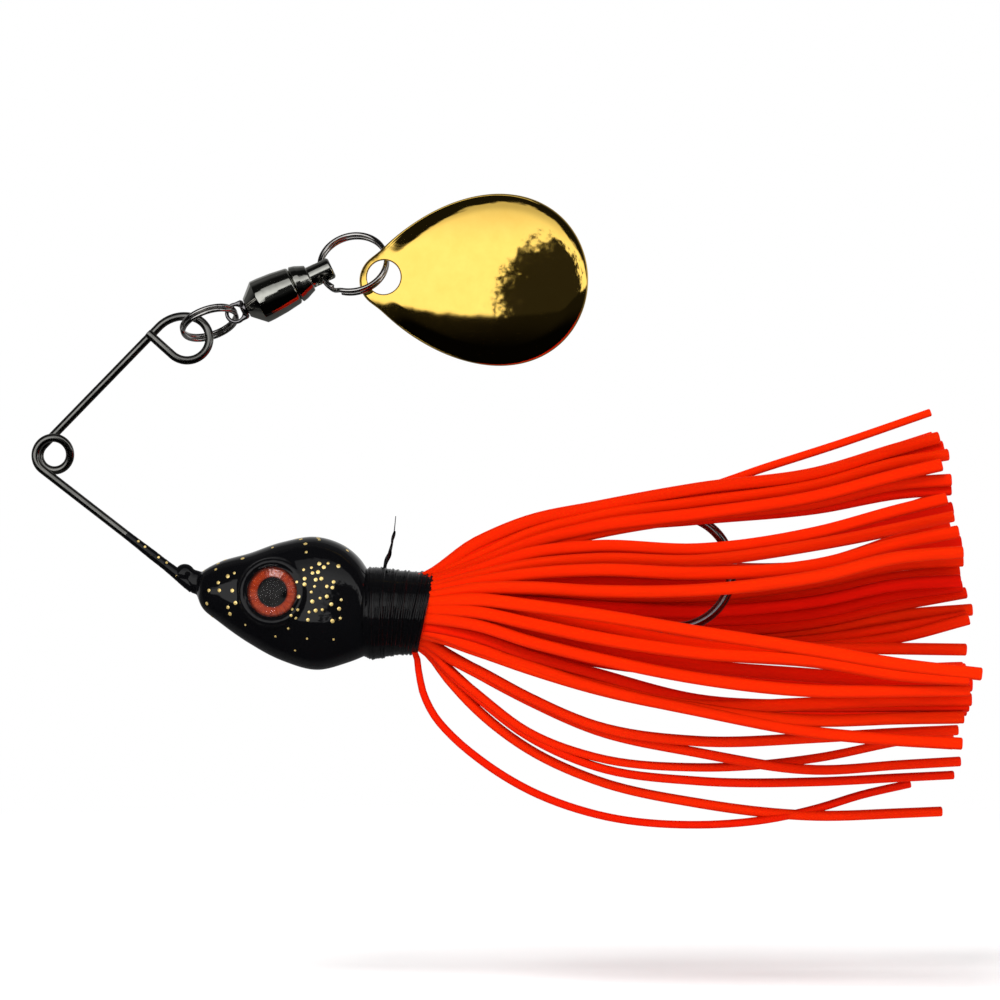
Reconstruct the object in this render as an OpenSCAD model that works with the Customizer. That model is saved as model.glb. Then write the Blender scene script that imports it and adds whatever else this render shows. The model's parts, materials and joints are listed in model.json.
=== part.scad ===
// Spinnerbait: a safety-pin wire frame with a swivelling blade and a skirted, weighted hook.
// Millimetres. The origin is the centre of the line-tie coil, +X runs towards the skirt,
// +Z is up, and the frame lies in the XZ plane.

/* [Wire frame] */
// Diameter of the spring wire
wire_d = 1; // [0.9:0.01:1.02]
// Centre-line radius of the coil's front turn
coil_front_r = 2.1; // [2:0.05:2.3]
// Centre-line radius of the coil's back turn
coil_back_r = 1.75; // [1.6:0.05:1.9]
// Sideways step of one turn of wire
wire_step = 1.06; // [1.04:0.01:1.1]
// Angle of the upper arm above level
upper_arm_angle = 45.8; // [44:0.2:47]
// Angle of the lower arm below level
lower_arm_angle = 37.8; // [37:0.2:38.6]
// Length of the lower arm up to its bend inside the head
lower_arm_len = 24.7; // [24:0.1:25.4]
// Centre of the closed eye along X
eye_x = 15.75; // [15.5:0.05:16]
// Centre of the closed eye along Z
eye_z = 13.83; // [13.6:0.05:14]
// Centre-line radius of the closed eye
eye_r = 2.6; // [2.5:0.05:2.7]

/* [Split rings] */
// Wire diameter of the rear ring
rear_ring_wire = 0.5; // [0.45:0.01:0.52]
// Centre-line radius of the rear ring
rear_ring_r = 3.3; // [3.2:0.05:3.4]
// Tilt of the rear ring's plane away from the frame's plane
rear_ring_tilt = 66; // [62:1:70]
// Rise of the rear ring's long axis
rear_ring_rise = 20; // [18:1:24]
// Wire diameter of the front ring
front_ring_wire = 0.55; // [0.5:0.01:0.56]
// Centre-line radius of the front ring
front_ring_r = 4; // [3.9:0.05:4.1]
// Tilt of the front ring's plane away from the frame's plane
front_ring_tilt = 32; // [30:1:34]
// Rise of the front ring's long axis
front_ring_rise = 15; // [13:1:17]

/* [Swivel] */
// Rise of the swivel's axis
swivel_rise = 25.5; // [24:0.5:27]
// Largest diameter of the barrel
barrel_d = 5.3; // [5.1:0.1:5.5]
// Diameter of the drilled stem
stem_d = 2.6; // [2.5:0.05:2.8]
// Diameter of the stem's cross-hole
stem_hole_d = 1.9; // [1.8:0.02:1.9]
// Diameter of the hole in the post's tab
tab_hole_d = 1.9; // [1.8:0.02:1.96]
// Thickness of the post's tab
tab_t = 0.9; // [0.8:0.05:0.9]
// Diameter of the post's shaft
shaft_d = 1.3; // [1.2:0.05:1.34]
// Diameter of a bearing ball
ball_d = 0.9; // [0.8:0.02:0.92]
// Number of bearing balls
ball_count = 8; // [6:1:8]

/* [Blade] */
// Length of the blade
blade_len = 27.1; // [26:0.1:28]
// Width of the blade
blade_w = 20.3; // [19:0.1:21]
// Thickness of the sheet
blade_t = 0.6; // [0.5:0.05:0.7]
// Radius of the cupped surface
blade_cup_r = 34; // [32:0.5:40]
// Diameter of the ring hole
blade_hole_d = 4; // [3.9:0.05:4.1]

/* [Head] */
// Half width of the head at its widest
head_half_w = 5.6; // [5.4:0.05:5.8]
// Squareness of the head's cross-section
head_square = 2.6; // [2.2:0.1:3]
// Diameter of the eye foil
foil_d = 5.9; // [5.6:0.05:6]
// Radius of the collar under the thread
collar_r = 3.6; // [3.55:0.01:3.64]

/* [Hook] */
// Diameter of the hook wire
hook_d = 1.2; // [1.1:0.02:1.22]
// Radius of the hook's bend
bend_r = 6.6; // [6.2:0.05:6.8]
// Rise of the hook's shank
shank_rise = 2; // [1.8:0.1:2.1]
// Length of the spear from the bend to the tip
spear_len = 7; // [6.4:0.1:7.4]

/* [Skirt] */
// Radius of the tied roots
root_r = 4.28; // [4.26:0.01:4.3]
// Thickness of a bunch's wall in the flare
bunch_t = 1.2; // [1:0.1:1.3]
// Furthest strand end
skirt_end_x = 109.5; // [106:0.5:111]

/* [Hidden] */

wire_r = wire_d / 2;
hook_r = hook_d / 2;
fit = 0.02;        // gap between a cast-in or glued piece and its seat
bead = 0.02;       // extra radius of the bead that joins two lengths of wire
round_fn = 64;

// Coil and arms
coil_start = 270 - lower_arm_angle;
coil_end = 90 + upper_arm_angle;
climb_start = 94;
bend_step = 12;    // turn between neighbouring sections of the bent wire
wire_sides = 16;

// Closed eye: a wide blend arc, then the round of the eye
eye_centre = [eye_x, wire_step, eye_z];
eye_blend_r = 4.2;
eye_climb_start = 48;
eye_leg = 3.8;
upper_start = coil_back_r * xz(coil_end) + [0, wire_step, 0];
upper_dir = xz(upper_arm_angle);
upper_normal = xz(upper_arm_angle - 90);
eye_offset = eye_blend_r - (eye_centre - upper_start) * upper_normal;
eye_run = sqrt(pow(eye_blend_r - eye_r, 2) - pow(eye_offset, 2));
blend_centre = eye_centre + eye_offset * upper_normal - eye_run * upper_dir;
blend_end = angle_of(eye_centre - blend_centre);

// Lower arm's hidden end, which bends inside the head and runs on beside the hook's shank
lower_start = coil_front_r * xz(coil_start);
lower_end = lower_start + lower_arm_len * xz(-lower_arm_angle);
cast_bend_r = 5;
cast_run_angle = -20;
cast_bend_centre = lower_end + cast_bend_r * xz(90 - lower_arm_angle);
cast_bend_end = cast_bend_centre + cast_bend_r * xz(270 + cast_run_angle);
shank_end = [73.66, 0, -20.25];
hook_eye = shank_end - 43.5 * xz(shank_rise);
hook_eye_r = 1.35;
beside_shank = hook_eye + [0, 1.25, 0];
cast_path = [cast_bend_end, cast_bend_end + 7 * xz(cast_run_angle),
    beside_shank + [-2, 0, 0.85], beside_shank, beside_shank + 5 * xz(shank_rise)];

// Swivel: its own axis is t, with t = 0 where the cone starts
swivel_y = 0.9;
swivel_start = [22.76, swivel_y, 17.45];
swivel_dir = xz(swivel_rise);
tab_hole_t = -1.45;
stem_hole_t = 9.8;
stem_end_t = 11.15;
seam_t = 6.35;
cone_t = 1.6;
race_r = 1.3;             // pitch radius of the balls
race_t = 2.3;             // where the balls run
race_play = 0.05;
cavity_r = 1.86;
head_t = 0.7;             // thickness of the post's head
shoulder_t = race_t - ball_d / 2 - race_play;
head_face_t = race_t + ball_d / 2 + race_play;

// Rings: centre, in-plane directions, from the holes they run through
rear_ring_along = xz(rear_ring_rise);
rear_ring_centre = swivel_start + tab_hole_t * swivel_dir - rear_ring_r * rear_ring_along;
front_ring_along = xz(front_ring_rise);
front_ring_seat = 0.12;   // the ring's bow sits this far off the cross-hole's centre
front_ring_centre = swivel_start + stem_hole_t * swivel_dir
    + (front_ring_r - front_ring_seat) * front_ring_along;

// Blade, measured from its tip
blade_tip = [36, 0, 20.65];
blade_hole_x = 3;
blade_hole_rise = 0.35;
blade_tip_r = 3.3;
blade_crown_x = 16.5;
blade_crown_y = -3.87;
egg_power = 0.6;
egg_peak = 0.841;         // largest value of the egg formula

// Head: x, top, bottom and share of the half width at each station
head_stations = [[16.9, -14.7, -16.4, 0.14], [17.6, -13.7, -18.0, 0.36],
    [19.5, -12.6, -19.6, 0.58], [23.2, -11.5, -22.2, 0.83], [27, -10.2, -24.2, 0.95],
    [31.2, -9.6, -25.3, 1], [34.6, -10.8, -24.5, 0.97], [36.2, -12.2, -23.9, 0.9],
    [37.1, -13.5, -23.5, 0.8]];
collar_z = -18.6;
collar_end_x = 44;
wrap_start_x = 37.2;
eye_seat = [26.1, -4.75, -16];
eye_seat_nose = 7;
eye_seat_up = 6;
lens_h = 1.1;
foil_t = 0.25;
rim_r = 3.55;
rim_wire_r = 0.5;

// Skirt: x, top, bottom and half width of the outline
root_start_x = 38.4;
skirt_stations = [[45.3, collar_z + root_r, collar_z - root_r, root_r], [47.6, -11.9, -27.5, 6],
    [52.5, -8.5, -33.5, 9], [60, -6.2, -38.4, 11.5], [72, -4, -42.6, 14],
    [86, -1.6, -43.4, 16], [100, 1.2, -42.6, 17], [skirt_end_x, 2.6, -42.2, 17.5]];
root_t = 0.6;

// ---- helpers ----

// Unit vector at an angle above +X in the XZ plane
function xz(a) = [cos(a), 0, sin(a)];

// Angle above +X of a vector in the XZ plane
function angle_of(v) = atan2(v.z, v.x);

function unit(v) = v / norm(v);

// A list without its first member
function tail(p) = [for (i = [1:len(p) - 1]) p[i]];

// Value of a smooth curve through the rows of p; u runs over the rows
function smooth(p, u) =
    let (last = len(p) - 1, i = min(floor(u), last - 1), f = u - i,
        a = p[max(i - 1, 0)], b = p[i], c = p[i + 1], d = p[min(i + 2, last)])
    b + 0.5 * f * ((c - a) + f * ((2 * a - 5 * b + 4 * c - d) + f * (3 * b - a - 3 * c + d)));

// Sign-keeping power, for rounded-square outlines
function spow(v, e) = sign(v) * pow(abs(v), e);

// One point of a rounded-square section; row = [x, top, bottom, half width]
function section_point(row, a, e, inset = 0) =
    [row[0], (row[3] - inset) * spow(cos(a), 2 / e),
        (row[1] + row[2]) / 2 + ((row[1] - row[2]) / 2 - inset) * spow(sin(a), 2 / e)];

// Straight length of wire from p to q
module rod(p, q, r) {
    v = q - p;
    translate(p)
        rotate([0, acos(v.z / norm(v)), atan2(v.y, v.x)])
            cylinder(h = norm(v), r = r, $fn = round_fn);
}

// Bead that joins two lengths of wire at p
module joint_bead(p, r) {
    translate(p) sphere(r = r + bead, $fn = round_fn);
}

// Arc of wire in the XZ plane, clockwise from the angle `start`
module turn(centre, radius, r, start, sweep) {
    translate(centre)
        rotate([0, -start, 0])
            rotate([-90, 0, 0])
                rotate_extrude(angle = sweep, $fn = round_fn)
                    translate([radius, 0])
                        circle(r = r, $fn = round_fn);
}

// Wire through a list of points, with a bead at each inner point
module wire_path(points, r) {
    for (i = [0:len(points) - 2]) rod(points[i], points[i + 1], r);
    for (i = [0:len(points) - 2]) joint_bead(points[i], r);
}

// Closed skin over a list of equal rings with an even number of points each; its end caps
// are strips between opposite points, so a ring may be bent
module skin(rings) {
    n = len(rings[0]);
    last = (len(rings) - 1) * n;
    cap = [for (k = [0:n / 2 - 2]) [k, k + 1, n - 2 - k, n - 1 - k]];
    polyhedron(points = [for (ring = rings) each ring],
        faces = concat(cap,
            [for (i = [0:n:last - n], k = [0:n - 1])
                [i + k, i + n + k, i + n + (k + 1) % n, i + (k + 1) % n]],
            [for (quad = cap) [for (j = [3:-1:0]) last + quad[j]]]));
}

// Moves its children onto the swivel's axis: local z is t, local y is Y
module on_swivel() {
    translate(swivel_start) rotate([0, 90 - swivel_rise, 0]) children();
}

// Split ring wound twice, in its own plane with the wire ends at the angle `gap_at`
module split_ring(radius, wire, gap_at) {
    gap = 9;
    half = wire / 2 + 0.015;
    rotate([0, 0, gap_at]) {
        for (z = [-half, half])
            translate([0, 0, z])
                rotate([0, 0, gap])
                    rotate_extrude(angle = 360 - 2 * gap, $fn = round_fn)
                        translate([radius, 0])
                            circle(r = wire / 2, $fn = 32);
        crossing = [for (side = [-1, 1])
            [radius * cos(gap), side * radius * sin(gap), side * half]];
        rod(crossing[0], crossing[1], wire / 2);
        for (p = crossing) joint_bead(p, wire / 2);
    }
}

// Moves a flat ring into place: local x along the rise, local y across it
module in_ring_plane(centre, rise, tilt) {
    translate(centre) rotate([0, -rise, 0]) rotate([90 - tilt, 0, 0]) children();
}

// ---- wire frame ----

// Points along an arc in the XZ plane, clockwise from the angle `start`, that also climbs
// along +Y by `climb` and keeps level ends
function arc_points(centre, radius, start, sweep, climb = 0) =
    let (n = ceil(sweep / bend_step))
    [for (k = [0:n]) centre + radius * xz(start - sweep * k / n)
        + [0, climb * (1 - cos(180 * k / n)) / 2, 0]];

// Centre line of the whole wire, from its buried end to the cut end beside the eye
function frame_points() =
    let (climb_shift = (coil_front_r - coil_back_r) / 2,
        leg_start = eye_centre + eye_r * xz(eye_climb_start - 180) - [0, wire_step, 0])
    concat([for (i = [len(cast_path) - 1:-1:1]) cast_path[i]],
        arc_points(cast_bend_centre, cast_bend_r, 270 + cast_run_angle,
            lower_arm_angle + cast_run_angle),
        arc_points([0, 0, 0], coil_front_r, coil_start, coil_start - climb_start),
        tail(arc_points(climb_shift * xz(climb_start), (coil_front_r + coil_back_r) / 2,
            climb_start, 180, wire_step)),
        tail(arc_points([0, wire_step, 0], coil_back_r, climb_start - 180,
            climb_start + 180 - coil_end)),
        arc_points(blend_centre, eye_blend_r, coil_end, coil_end - blend_end),
        tail(arc_points(eye_centre, eye_r, blend_end, blend_end - eye_climb_start)),
        tail(arc_points(eye_centre, eye_r, eye_climb_start, 180, -wire_step)),
        [leg_start + eye_leg * xz(eye_climb_start + 90)]);

// Ring of points square to the path p at its point i; no part of the path runs along Y
function wire_ring(p, i, r) =
    let (before = i > 0 ? unit(p[i] - p[i - 1]) : [0, 0, 0],
        after = i < len(p) - 1 ? unit(p[i + 1] - p[i]) : [0, 0, 0],
        along = unit(before + after),
        side = unit([0, 1, 0] - along.y * along),
        up = cross(along, side))
    [for (k = [0:wire_sides - 1])
        let (a = 360 * k / wire_sides) p[i] + r * (cos(a) * side + sin(a) * up)];

// The part of the lower arm that is cast into the head
module buried_wire(r) {
    rod(lower_start, lower_end, r);
    joint_bead(lower_end, r);
    turn(cast_bend_centre, cast_bend_r, r, 270 + cast_run_angle, lower_arm_angle + cast_run_angle);
    wire_path(cast_path, r);
    joint_bead(cast_path[len(cast_path) - 1], r);
}

module wire_frame() {
    path = frame_points();
    color([0.2, 0.2, 0.21])
        skin([for (i = [0:len(path) - 1]) wire_ring(path, i, wire_r)]);
}

// ---- rings ----

module rear_split_ring() {
    color([0.14, 0.14, 0.15])
        in_ring_plane(rear_ring_centre, rear_ring_rise, -rear_ring_tilt)
            split_ring(rear_ring_r, rear_ring_wire, 100);
}

module front_split_ring() {
    color([0.14, 0.14, 0.15])
        in_ring_plane(front_ring_centre, front_ring_rise, front_ring_tilt)
            split_ring(front_ring_r, front_ring_wire, -128);
}

// ---- swivel ----

// Round body about the swivel's axis from rows of [radius, t]
module turned(profile) {
    rotate_extrude($fn = round_fn) polygon(profile);
}

module swivel_post() {
    tab_r = 1.25;
    tab_root_t = -0.35;
    color([0.16, 0.16, 0.17]) on_swivel() difference() {
        union() {
            translate([0, 0, tab_hole_t])
                rotate([90, 0, 0])
                    cylinder(h = tab_t, r = tab_r, center = true, $fn = round_fn);
            translate([-1, -tab_t / 2, tab_hole_t]) cube([2, tab_t, tab_root_t - tab_hole_t]);
            turned([[0, tab_root_t - 0.35], [0.85, tab_root_t - 0.35], [1.05, tab_root_t],
                [1.05, -0.08], [shaft_d / 2, -0.08], [shaft_d / 2, head_face_t],
                [race_r + 0.35, head_face_t], [race_r + 0.35, head_face_t + head_t],
                [0, head_face_t + head_t]]);
        }
        translate([0, 0, tab_hole_t])
            rotate([90, 0, 0])
                cylinder(h = 3, d = tab_hole_d, center = true, $fn = round_fn);
    }
}

module bearing_balls() {
    color([0.75, 0.75, 0.77]) on_swivel()
        for (i = [0:ball_count - 1])
            rotate([0, 0, 360 * i / ball_count])
                translate([race_r, 0, race_t])
                    sphere(d = ball_d, $fn = 32);
}

module swivel_shell() {
    bore_r = shaft_d / 2 + 0.06;
    color([0.16, 0.16, 0.17]) on_swivel()
        turned([[bore_r, 0], [1.15, 0], [barrel_d / 2, cone_t], [barrel_d / 2, cone_t + 0.9],
            [barrel_d / 2 - 0.12, cone_t + 2.6], [barrel_d / 2 - 0.38, seam_t - 0.25],
            [barrel_d / 2 - 0.55, seam_t - 0.06], [cavity_r, seam_t - 0.06],
            [cavity_r, shoulder_t], [bore_r, shoulder_t]]);
}

module swivel_neck() {
    shoulder_r = barrel_d / 2 - 0.42;
    taper_end_t = 8.3;
    color([0.16, 0.16, 0.17]) on_swivel() difference() {
        turned([[0, head_face_t + head_t + 0.25], [cavity_r - 0.01, head_face_t + head_t + 0.25],
            [cavity_r - 0.01, seam_t], [shoulder_r - 0.15, seam_t], [shoulder_r, seam_t + 0.15],
            [shoulder_r - 0.14, seam_t + 0.75], [shoulder_r - 0.4, seam_t + 1.35],
            [1.6, taper_end_t - 0.05], [stem_d / 2, taper_end_t], [stem_d / 2, stem_end_t - 0.2],
            [stem_d / 2 - 0.2, stem_end_t], [0, stem_end_t]]);
        translate([0, 0, stem_hole_t])
            rotate([0, 0, -front_ring_tilt])
                rotate([0, 90, 0]) {
                    cylinder(h = 2 * stem_d, d = stem_hole_d, center = true, $fn = round_fn);
                    for (side = [0, 180])
                        rotate([side, 0, 0])
                            translate([0, 0, 0.9])
                                cylinder(h = 0.8, d1 = stem_hole_d, d2 = stem_hole_d + 0.5,
                                    $fn = round_fn);
                }
    }
}

// ---- blade ----

// Half width of the blade at the curve parameter a, 0 at the tip and 180 at the round end
function blade_half(a) =
    let (x = blade_x(a), r = blade_tip_r)
    max(blade_w / 2 / egg_peak * sin(a) * pow(sin(a / 2), egg_power),
        x < 2 * r ? sqrt(max(0, r * r - pow(x - r, 2))) : 0);

function blade_x(a) = blade_len / 2 * (1 - cos(a));

module blade() {
    step = 6;
    upper = [for (a = [0:step:180]) [blade_x(a), blade_half(a)]];
    lower = [for (a = [180 - step:-step:step]) [blade_x(a), -blade_half(a)]];
    color([0.93, 0.74, 0.25]) translate(blade_tip) difference() {
        intersection() {
            rotate([90, 0, 0])
                linear_extrude(height = 12, center = true)
                    polygon(concat(upper, lower));
            translate([blade_crown_x, blade_crown_y + blade_cup_r, 0]) difference() {
                sphere(r = blade_cup_r, $fn = 200);
                sphere(r = blade_cup_r - blade_t, $fn = 200);
            }
        }
        translate([blade_hole_x, 0, blade_hole_rise])
            rotate([90, 0, 0])
                cylinder(h = 12, d = blade_hole_d, center = true, $fn = round_fn);
    }
}

// ---- head, hook and eyes ----

// Moves its children onto the near eye's seat: local z points out of the head
module on_eye_seat() {
    translate(eye_seat)
        rotate([90, 0, 0])
            rotate([-eye_seat_up, -eye_seat_nose, 0])
                children();
}

module hook_body(r) {
    centre = shank_end + bend_r * xz(90 + shank_rise);
    spear_start = centre + bend_r * xz(90 + shank_rise);
    spear_dir = xz(180 + shank_rise);
    point_len = 3;
    cone_start = spear_start + (spear_len - point_len) * spear_dir;
    rod(hook_eye + hook_eye_r * xz(shank_rise), shank_end, r);
    translate(hook_eye)
        rotate([90, 0, 0])
            rotate_extrude($fn = round_fn)
                translate([hook_eye_r, 0])
                    circle(r = r, $fn = round_fn);
    turn(centre, bend_r, r, 90 + shank_rise, 180);
    rod(spear_start, cone_start, r);
    for (p = [shank_end, spear_start]) joint_bead(p, r);
    translate(cone_start)
        rotate([0, -90 - shank_rise, 0])
            turned([[0, -0.2], [r + bead, -0.2], [r + bead, 0.1], [r * 0.74, 0.45 * point_len],
                [0.05, point_len], [0, point_len]]);
    // barb, raised from the inner side of the point
    translate(cone_start - r * 0.3 * xz(90 + shank_rise) + 1.2 * spear_dir)
        rotate([0, 90 - shank_rise + 22, 0])
            cylinder(h = 1.5, r1 = 0.34, r2 = 0.06, $fn = 24);
}

module hook() {
    color([0.1, 0.1, 0.11]) hook_body(hook_r);
}

module head_casting() {
    steps = 4;
    sides = 40;
    rows = [for (u = [0:1 / steps:len(head_stations) - 1]) smooth(head_stations, u)];
    color([0.03, 0.03, 0.035]) difference() {
        union() {
            skin([for (row = rows) [for (k = [0:sides - 1])
                section_point([row[0], row[1], row[2], row[3] * head_half_w],
                    360 * k / sides, head_square)]]);
            translate([36, 0, collar_z])
                rotate([0, 90, 0])
                    cylinder(h = collar_end_x - 36, r = collar_r, $fn = round_fn);
            for (side = [0, 1]) mirror([0, side, 0]) on_eye_seat()
                rotate_extrude($fn = round_fn)
                    polygon([[0, -1.6], [rim_r + 0.3, -1.6],
                        for (a = [0:15:180]) [rim_r + rim_wire_r * cos(a), rim_wire_r * sin(a)],
                        [0, 0]]);
        }
        for (side = [0, 1]) mirror([0, side, 0]) on_eye_seat()
            translate([0, 0, -0.3]) cylinder(h = 3, d = foil_d + 2 * fit, $fn = round_fn);
        buried_wire(wire_r + fit);
        hook_body(hook_r + fit);
    }
}

module eye_foil(side) {
    mirror([0, side, 0]) on_eye_seat()
        translate([0, 0, -0.3 + fit])
            cylinder(h = foil_t, d = foil_d, $fn = round_fn);
}

module eye_lens(side) {
    cap_r = (pow(foil_d / 2, 2) + lens_h * lens_h) / 2 / lens_h;
    base = -0.3 + foil_t + 2 * fit;
    mirror([0, side, 0]) on_eye_seat()
        intersection() {
            translate([0, 0, base]) cylinder(h = 3, d = foil_d, $fn = round_fn);
            translate([0, 0, base + 0.3 + lens_h - cap_r]) sphere(r = cap_r, $fn = 100);
        }
}

module eye_foil_left() color([0.8, 0.2, 0.05]) eye_foil(0);
module eye_foil_right() color([0.8, 0.2, 0.05]) eye_foil(1);
module eye_lens_left() color([0.95, 0.9, 0.85, 0.4]) eye_lens(0);
module eye_lens_right() color([0.95, 0.9, 0.85, 0.4]) eye_lens(1);

// ---- thread ----

module thread_wrap() {
    end_slant = 13;
    color([0.04, 0.04, 0.045]) {
        difference() {
            translate([0, 0, collar_z]) rotate([0, 90, 0])
                turned([[collar_r + fit, wrap_start_x], [5.1, wrap_start_x], [5.4, 37.7],
                    [5.35, 38.6], [5, 40.4], [4.8, 42], [4.72, 46],
                    [root_r + fit, 46], [root_r + fit, 38.3], [collar_r + fit, 38.3]]);
            translate([43.9, -10, collar_z]) rotate([0, end_slant, 0])
                translate([0, 0, -10]) cube([10, 20, 20]);
        }
        // loose tag of the thread, a thin leaf that stands up from the wrap
        translate([0, 0.15, 0]) rotate([90, 0, 0]) linear_extrude(height = 0.3)
            polygon([[38.4, -13.7], [39.2, -13.7], [39.9, -11.6], [40.35, -9.4], [40.5, -7.1],
                [40.25, -7.1], [39.95, -9.2], [39.3, -11.3], [38.7, -12.9]]);
    }
}

// ---- skirt ----

// Outline rows of the skirt: the tied root, then the flare up to the station `last`
function skirt_rows(last) = let (steps = 3, root = skirt_stations[0])
    concat([[root_start_x, root[1], root[2], root[3]]],
        [for (u = [0:1 / steps:last]) smooth(skirt_stations, u)]);

// Wall thickness of a bunch at x: thin under the thread, full in the flare
function wall_at(x) = root_t + (bunch_t - root_t) * min(1, max(0, (x - skirt_stations[0][0]) / 6));

// One tied bunch of strands: a slice of the skirt's hollow flare from angle a0 to a1
module bunch(a0, a1) {
    cuts = 8;
    angles = [for (k = [0:cuts]) a0 + (a1 - a0) * k / cuts];
    skin([for (row = skirt_rows(len(skirt_stations) - 1)) concat(
        [for (a = angles) section_point(row, a, 2)],
        [for (k = [cuts:-1:0]) section_point(row, angles[k], 2, wall_at(row[0]))])]);
}

module skirt_top() color([1, 0.22, 0]) bunch(63, 132);
module skirt_near() color([1, 0.25, 0]) bunch(136, 226);
module skirt_far() color([0.95, 0.2, 0]) bunch(-46, 36);
module skirt_bottom() color([0.9, 0.18, 0]) bunch(230, 310);

// A single strand that leaves the roots between two bunches and stands off above them
module skirt_stray_strand() {
    lie = 49.5;
    lift_x = 72;
    strand_r = 0.4;
    path = [for (row = skirt_rows(len(skirt_stations) - 1.6))
        let (p = section_point(row, lie, 2, wall_at(row[0]) * 0.55),
            past = max(0, row[0] - lift_x))
        p + [0, -0.08 * past, 0.26 * past]];
    sides = 8;
    color([1, 0.28, 0])
        skin([for (p = path) [for (k = [0:sides - 1])
            p + strand_r * [0, cos(360 * k / sides), 0.6 * sin(360 * k / sides)]]]);
}

wire_frame();
rear_split_ring();
swivel_post();
bearing_balls();
swivel_shell();
swivel_neck();
front_split_ring();
blade();
head_casting();
hook();
eye_foil_left();
eye_foil_right();
eye_lens_left();
eye_lens_right();
thread_wrap();
skirt_top();
skirt_near();
skirt_far();
skirt_bottom();
skirt_stray_strand();
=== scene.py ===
"""Spinnerbait with a swivelling blade: the looks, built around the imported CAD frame.

The scene is in metres. Shapes are worked out in millimetres and scaled once, in Shape.make().
+X runs towards the skirt, +Z is up, and the near side of the lure faces -Y.
"""

import json
import math
import random

import bmesh
import bpy
import numpy as np
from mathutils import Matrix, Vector


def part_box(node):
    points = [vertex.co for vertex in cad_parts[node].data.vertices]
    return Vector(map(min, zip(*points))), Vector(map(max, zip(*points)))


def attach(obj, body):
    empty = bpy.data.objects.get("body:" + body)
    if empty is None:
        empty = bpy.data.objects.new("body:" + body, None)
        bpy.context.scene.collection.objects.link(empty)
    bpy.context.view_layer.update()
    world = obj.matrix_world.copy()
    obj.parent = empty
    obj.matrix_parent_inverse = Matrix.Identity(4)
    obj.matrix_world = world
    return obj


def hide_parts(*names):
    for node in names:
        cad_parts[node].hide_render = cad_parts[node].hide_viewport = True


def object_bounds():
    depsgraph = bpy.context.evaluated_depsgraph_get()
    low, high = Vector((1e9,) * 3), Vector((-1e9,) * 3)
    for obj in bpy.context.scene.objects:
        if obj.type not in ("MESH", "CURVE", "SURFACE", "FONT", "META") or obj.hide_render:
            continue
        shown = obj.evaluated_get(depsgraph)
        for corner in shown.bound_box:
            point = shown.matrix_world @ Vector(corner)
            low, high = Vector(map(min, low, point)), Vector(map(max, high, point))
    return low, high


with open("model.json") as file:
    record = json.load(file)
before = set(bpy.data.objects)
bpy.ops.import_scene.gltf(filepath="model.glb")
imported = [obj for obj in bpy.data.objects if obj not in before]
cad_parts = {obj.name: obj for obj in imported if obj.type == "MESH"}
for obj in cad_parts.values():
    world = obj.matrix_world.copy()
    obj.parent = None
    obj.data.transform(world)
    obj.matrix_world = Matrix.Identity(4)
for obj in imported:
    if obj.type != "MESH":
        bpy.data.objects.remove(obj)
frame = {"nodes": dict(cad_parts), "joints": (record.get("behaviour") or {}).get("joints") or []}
cad_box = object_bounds()

MM = 0.001
TAU = 2 * math.pi
ARC_STEP = 3.0
LURE = "lure_body"
X, Y, Z = np.eye(3)

# ---- places taken from the frame ----


def joint(name):
    """(place in mm, unit axis) of a joint of the frame."""
    found = next(j for j in frame["joints"] if j["name"] == name)
    axis = np.array(found["axis"], float)
    return np.array(found["pos_m"], float) / MM, axis / np.linalg.norm(axis)


def corners(node):
    """Lowest and highest corner of a CAD node, in mm."""
    low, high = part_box(node)
    return np.array(low) / MM, np.array(high) / MM


def disc_seat(node, outward):
    """Centre in mm and outward unit normal of a flat disc node."""
    co = np.array([v.co for v in frame["nodes"][node].data.vertices], float) / MM
    low, high = corners(node)
    centre = (low + high) / 2
    normal = np.linalg.svd(co - co.mean(0), full_matrices=False)[2][2]
    return centre, normal * np.sign(normal @ outward)


EYE_CENTRE, _ = joint("arm_swing")
REAR_RING_CENTRE, REAR_RING_NORMAL = joint("post_swing")
SWIVEL_START, SWIVEL_AXIS = joint("swivel_spin")
FRONT_RING_CENTRE, FRONT_RING_NORMAL = joint("ring_turn")
BLADE_LOW, BLADE_HIGH = corners("blade")
EYES = (("left", -Y), ("right", Y))
COLLAR_Z = -18.6
COLLAR_R = 3.6
COLLAR_X = (35.0, 44.0)

# ---- vectors and paths ----


def unit(v):
    return np.asarray(v, float) / np.linalg.norm(v)


def xz(degrees):
    """Unit vector at an angle above +X in the XZ plane."""
    a = math.radians(degrees)
    return np.array([math.cos(a), 0, math.sin(a)])


def angle_of(v):
    """Angle in degrees above +X of a vector in the XZ plane."""
    return math.degrees(math.atan2(v[2], v[0]))


def spow(v, e):
    """Power that keeps the sign, for squarer or rounder sections."""
    return np.sign(v) * np.abs(v) ** e


def lerp(a, b, t):
    return a + (b - a) * t


def smoothstep(t):
    t = np.clip(t, 0, 1)
    return t * t * (3 - 2 * t)


def arc(centre, radius, start, sweep, climb=0.0):
    """Points along an arc in the XZ plane, clockwise from `start`, climbing along +Y."""
    n = max(2, math.ceil(sweep / ARC_STEP))
    rises = [climb * (1 - math.cos(math.pi * k / n)) / 2 for k in range(n + 1)]
    return [centre + radius * xz(start - sweep * k / n) + Y * rises[k] for k in range(n + 1)]


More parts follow.
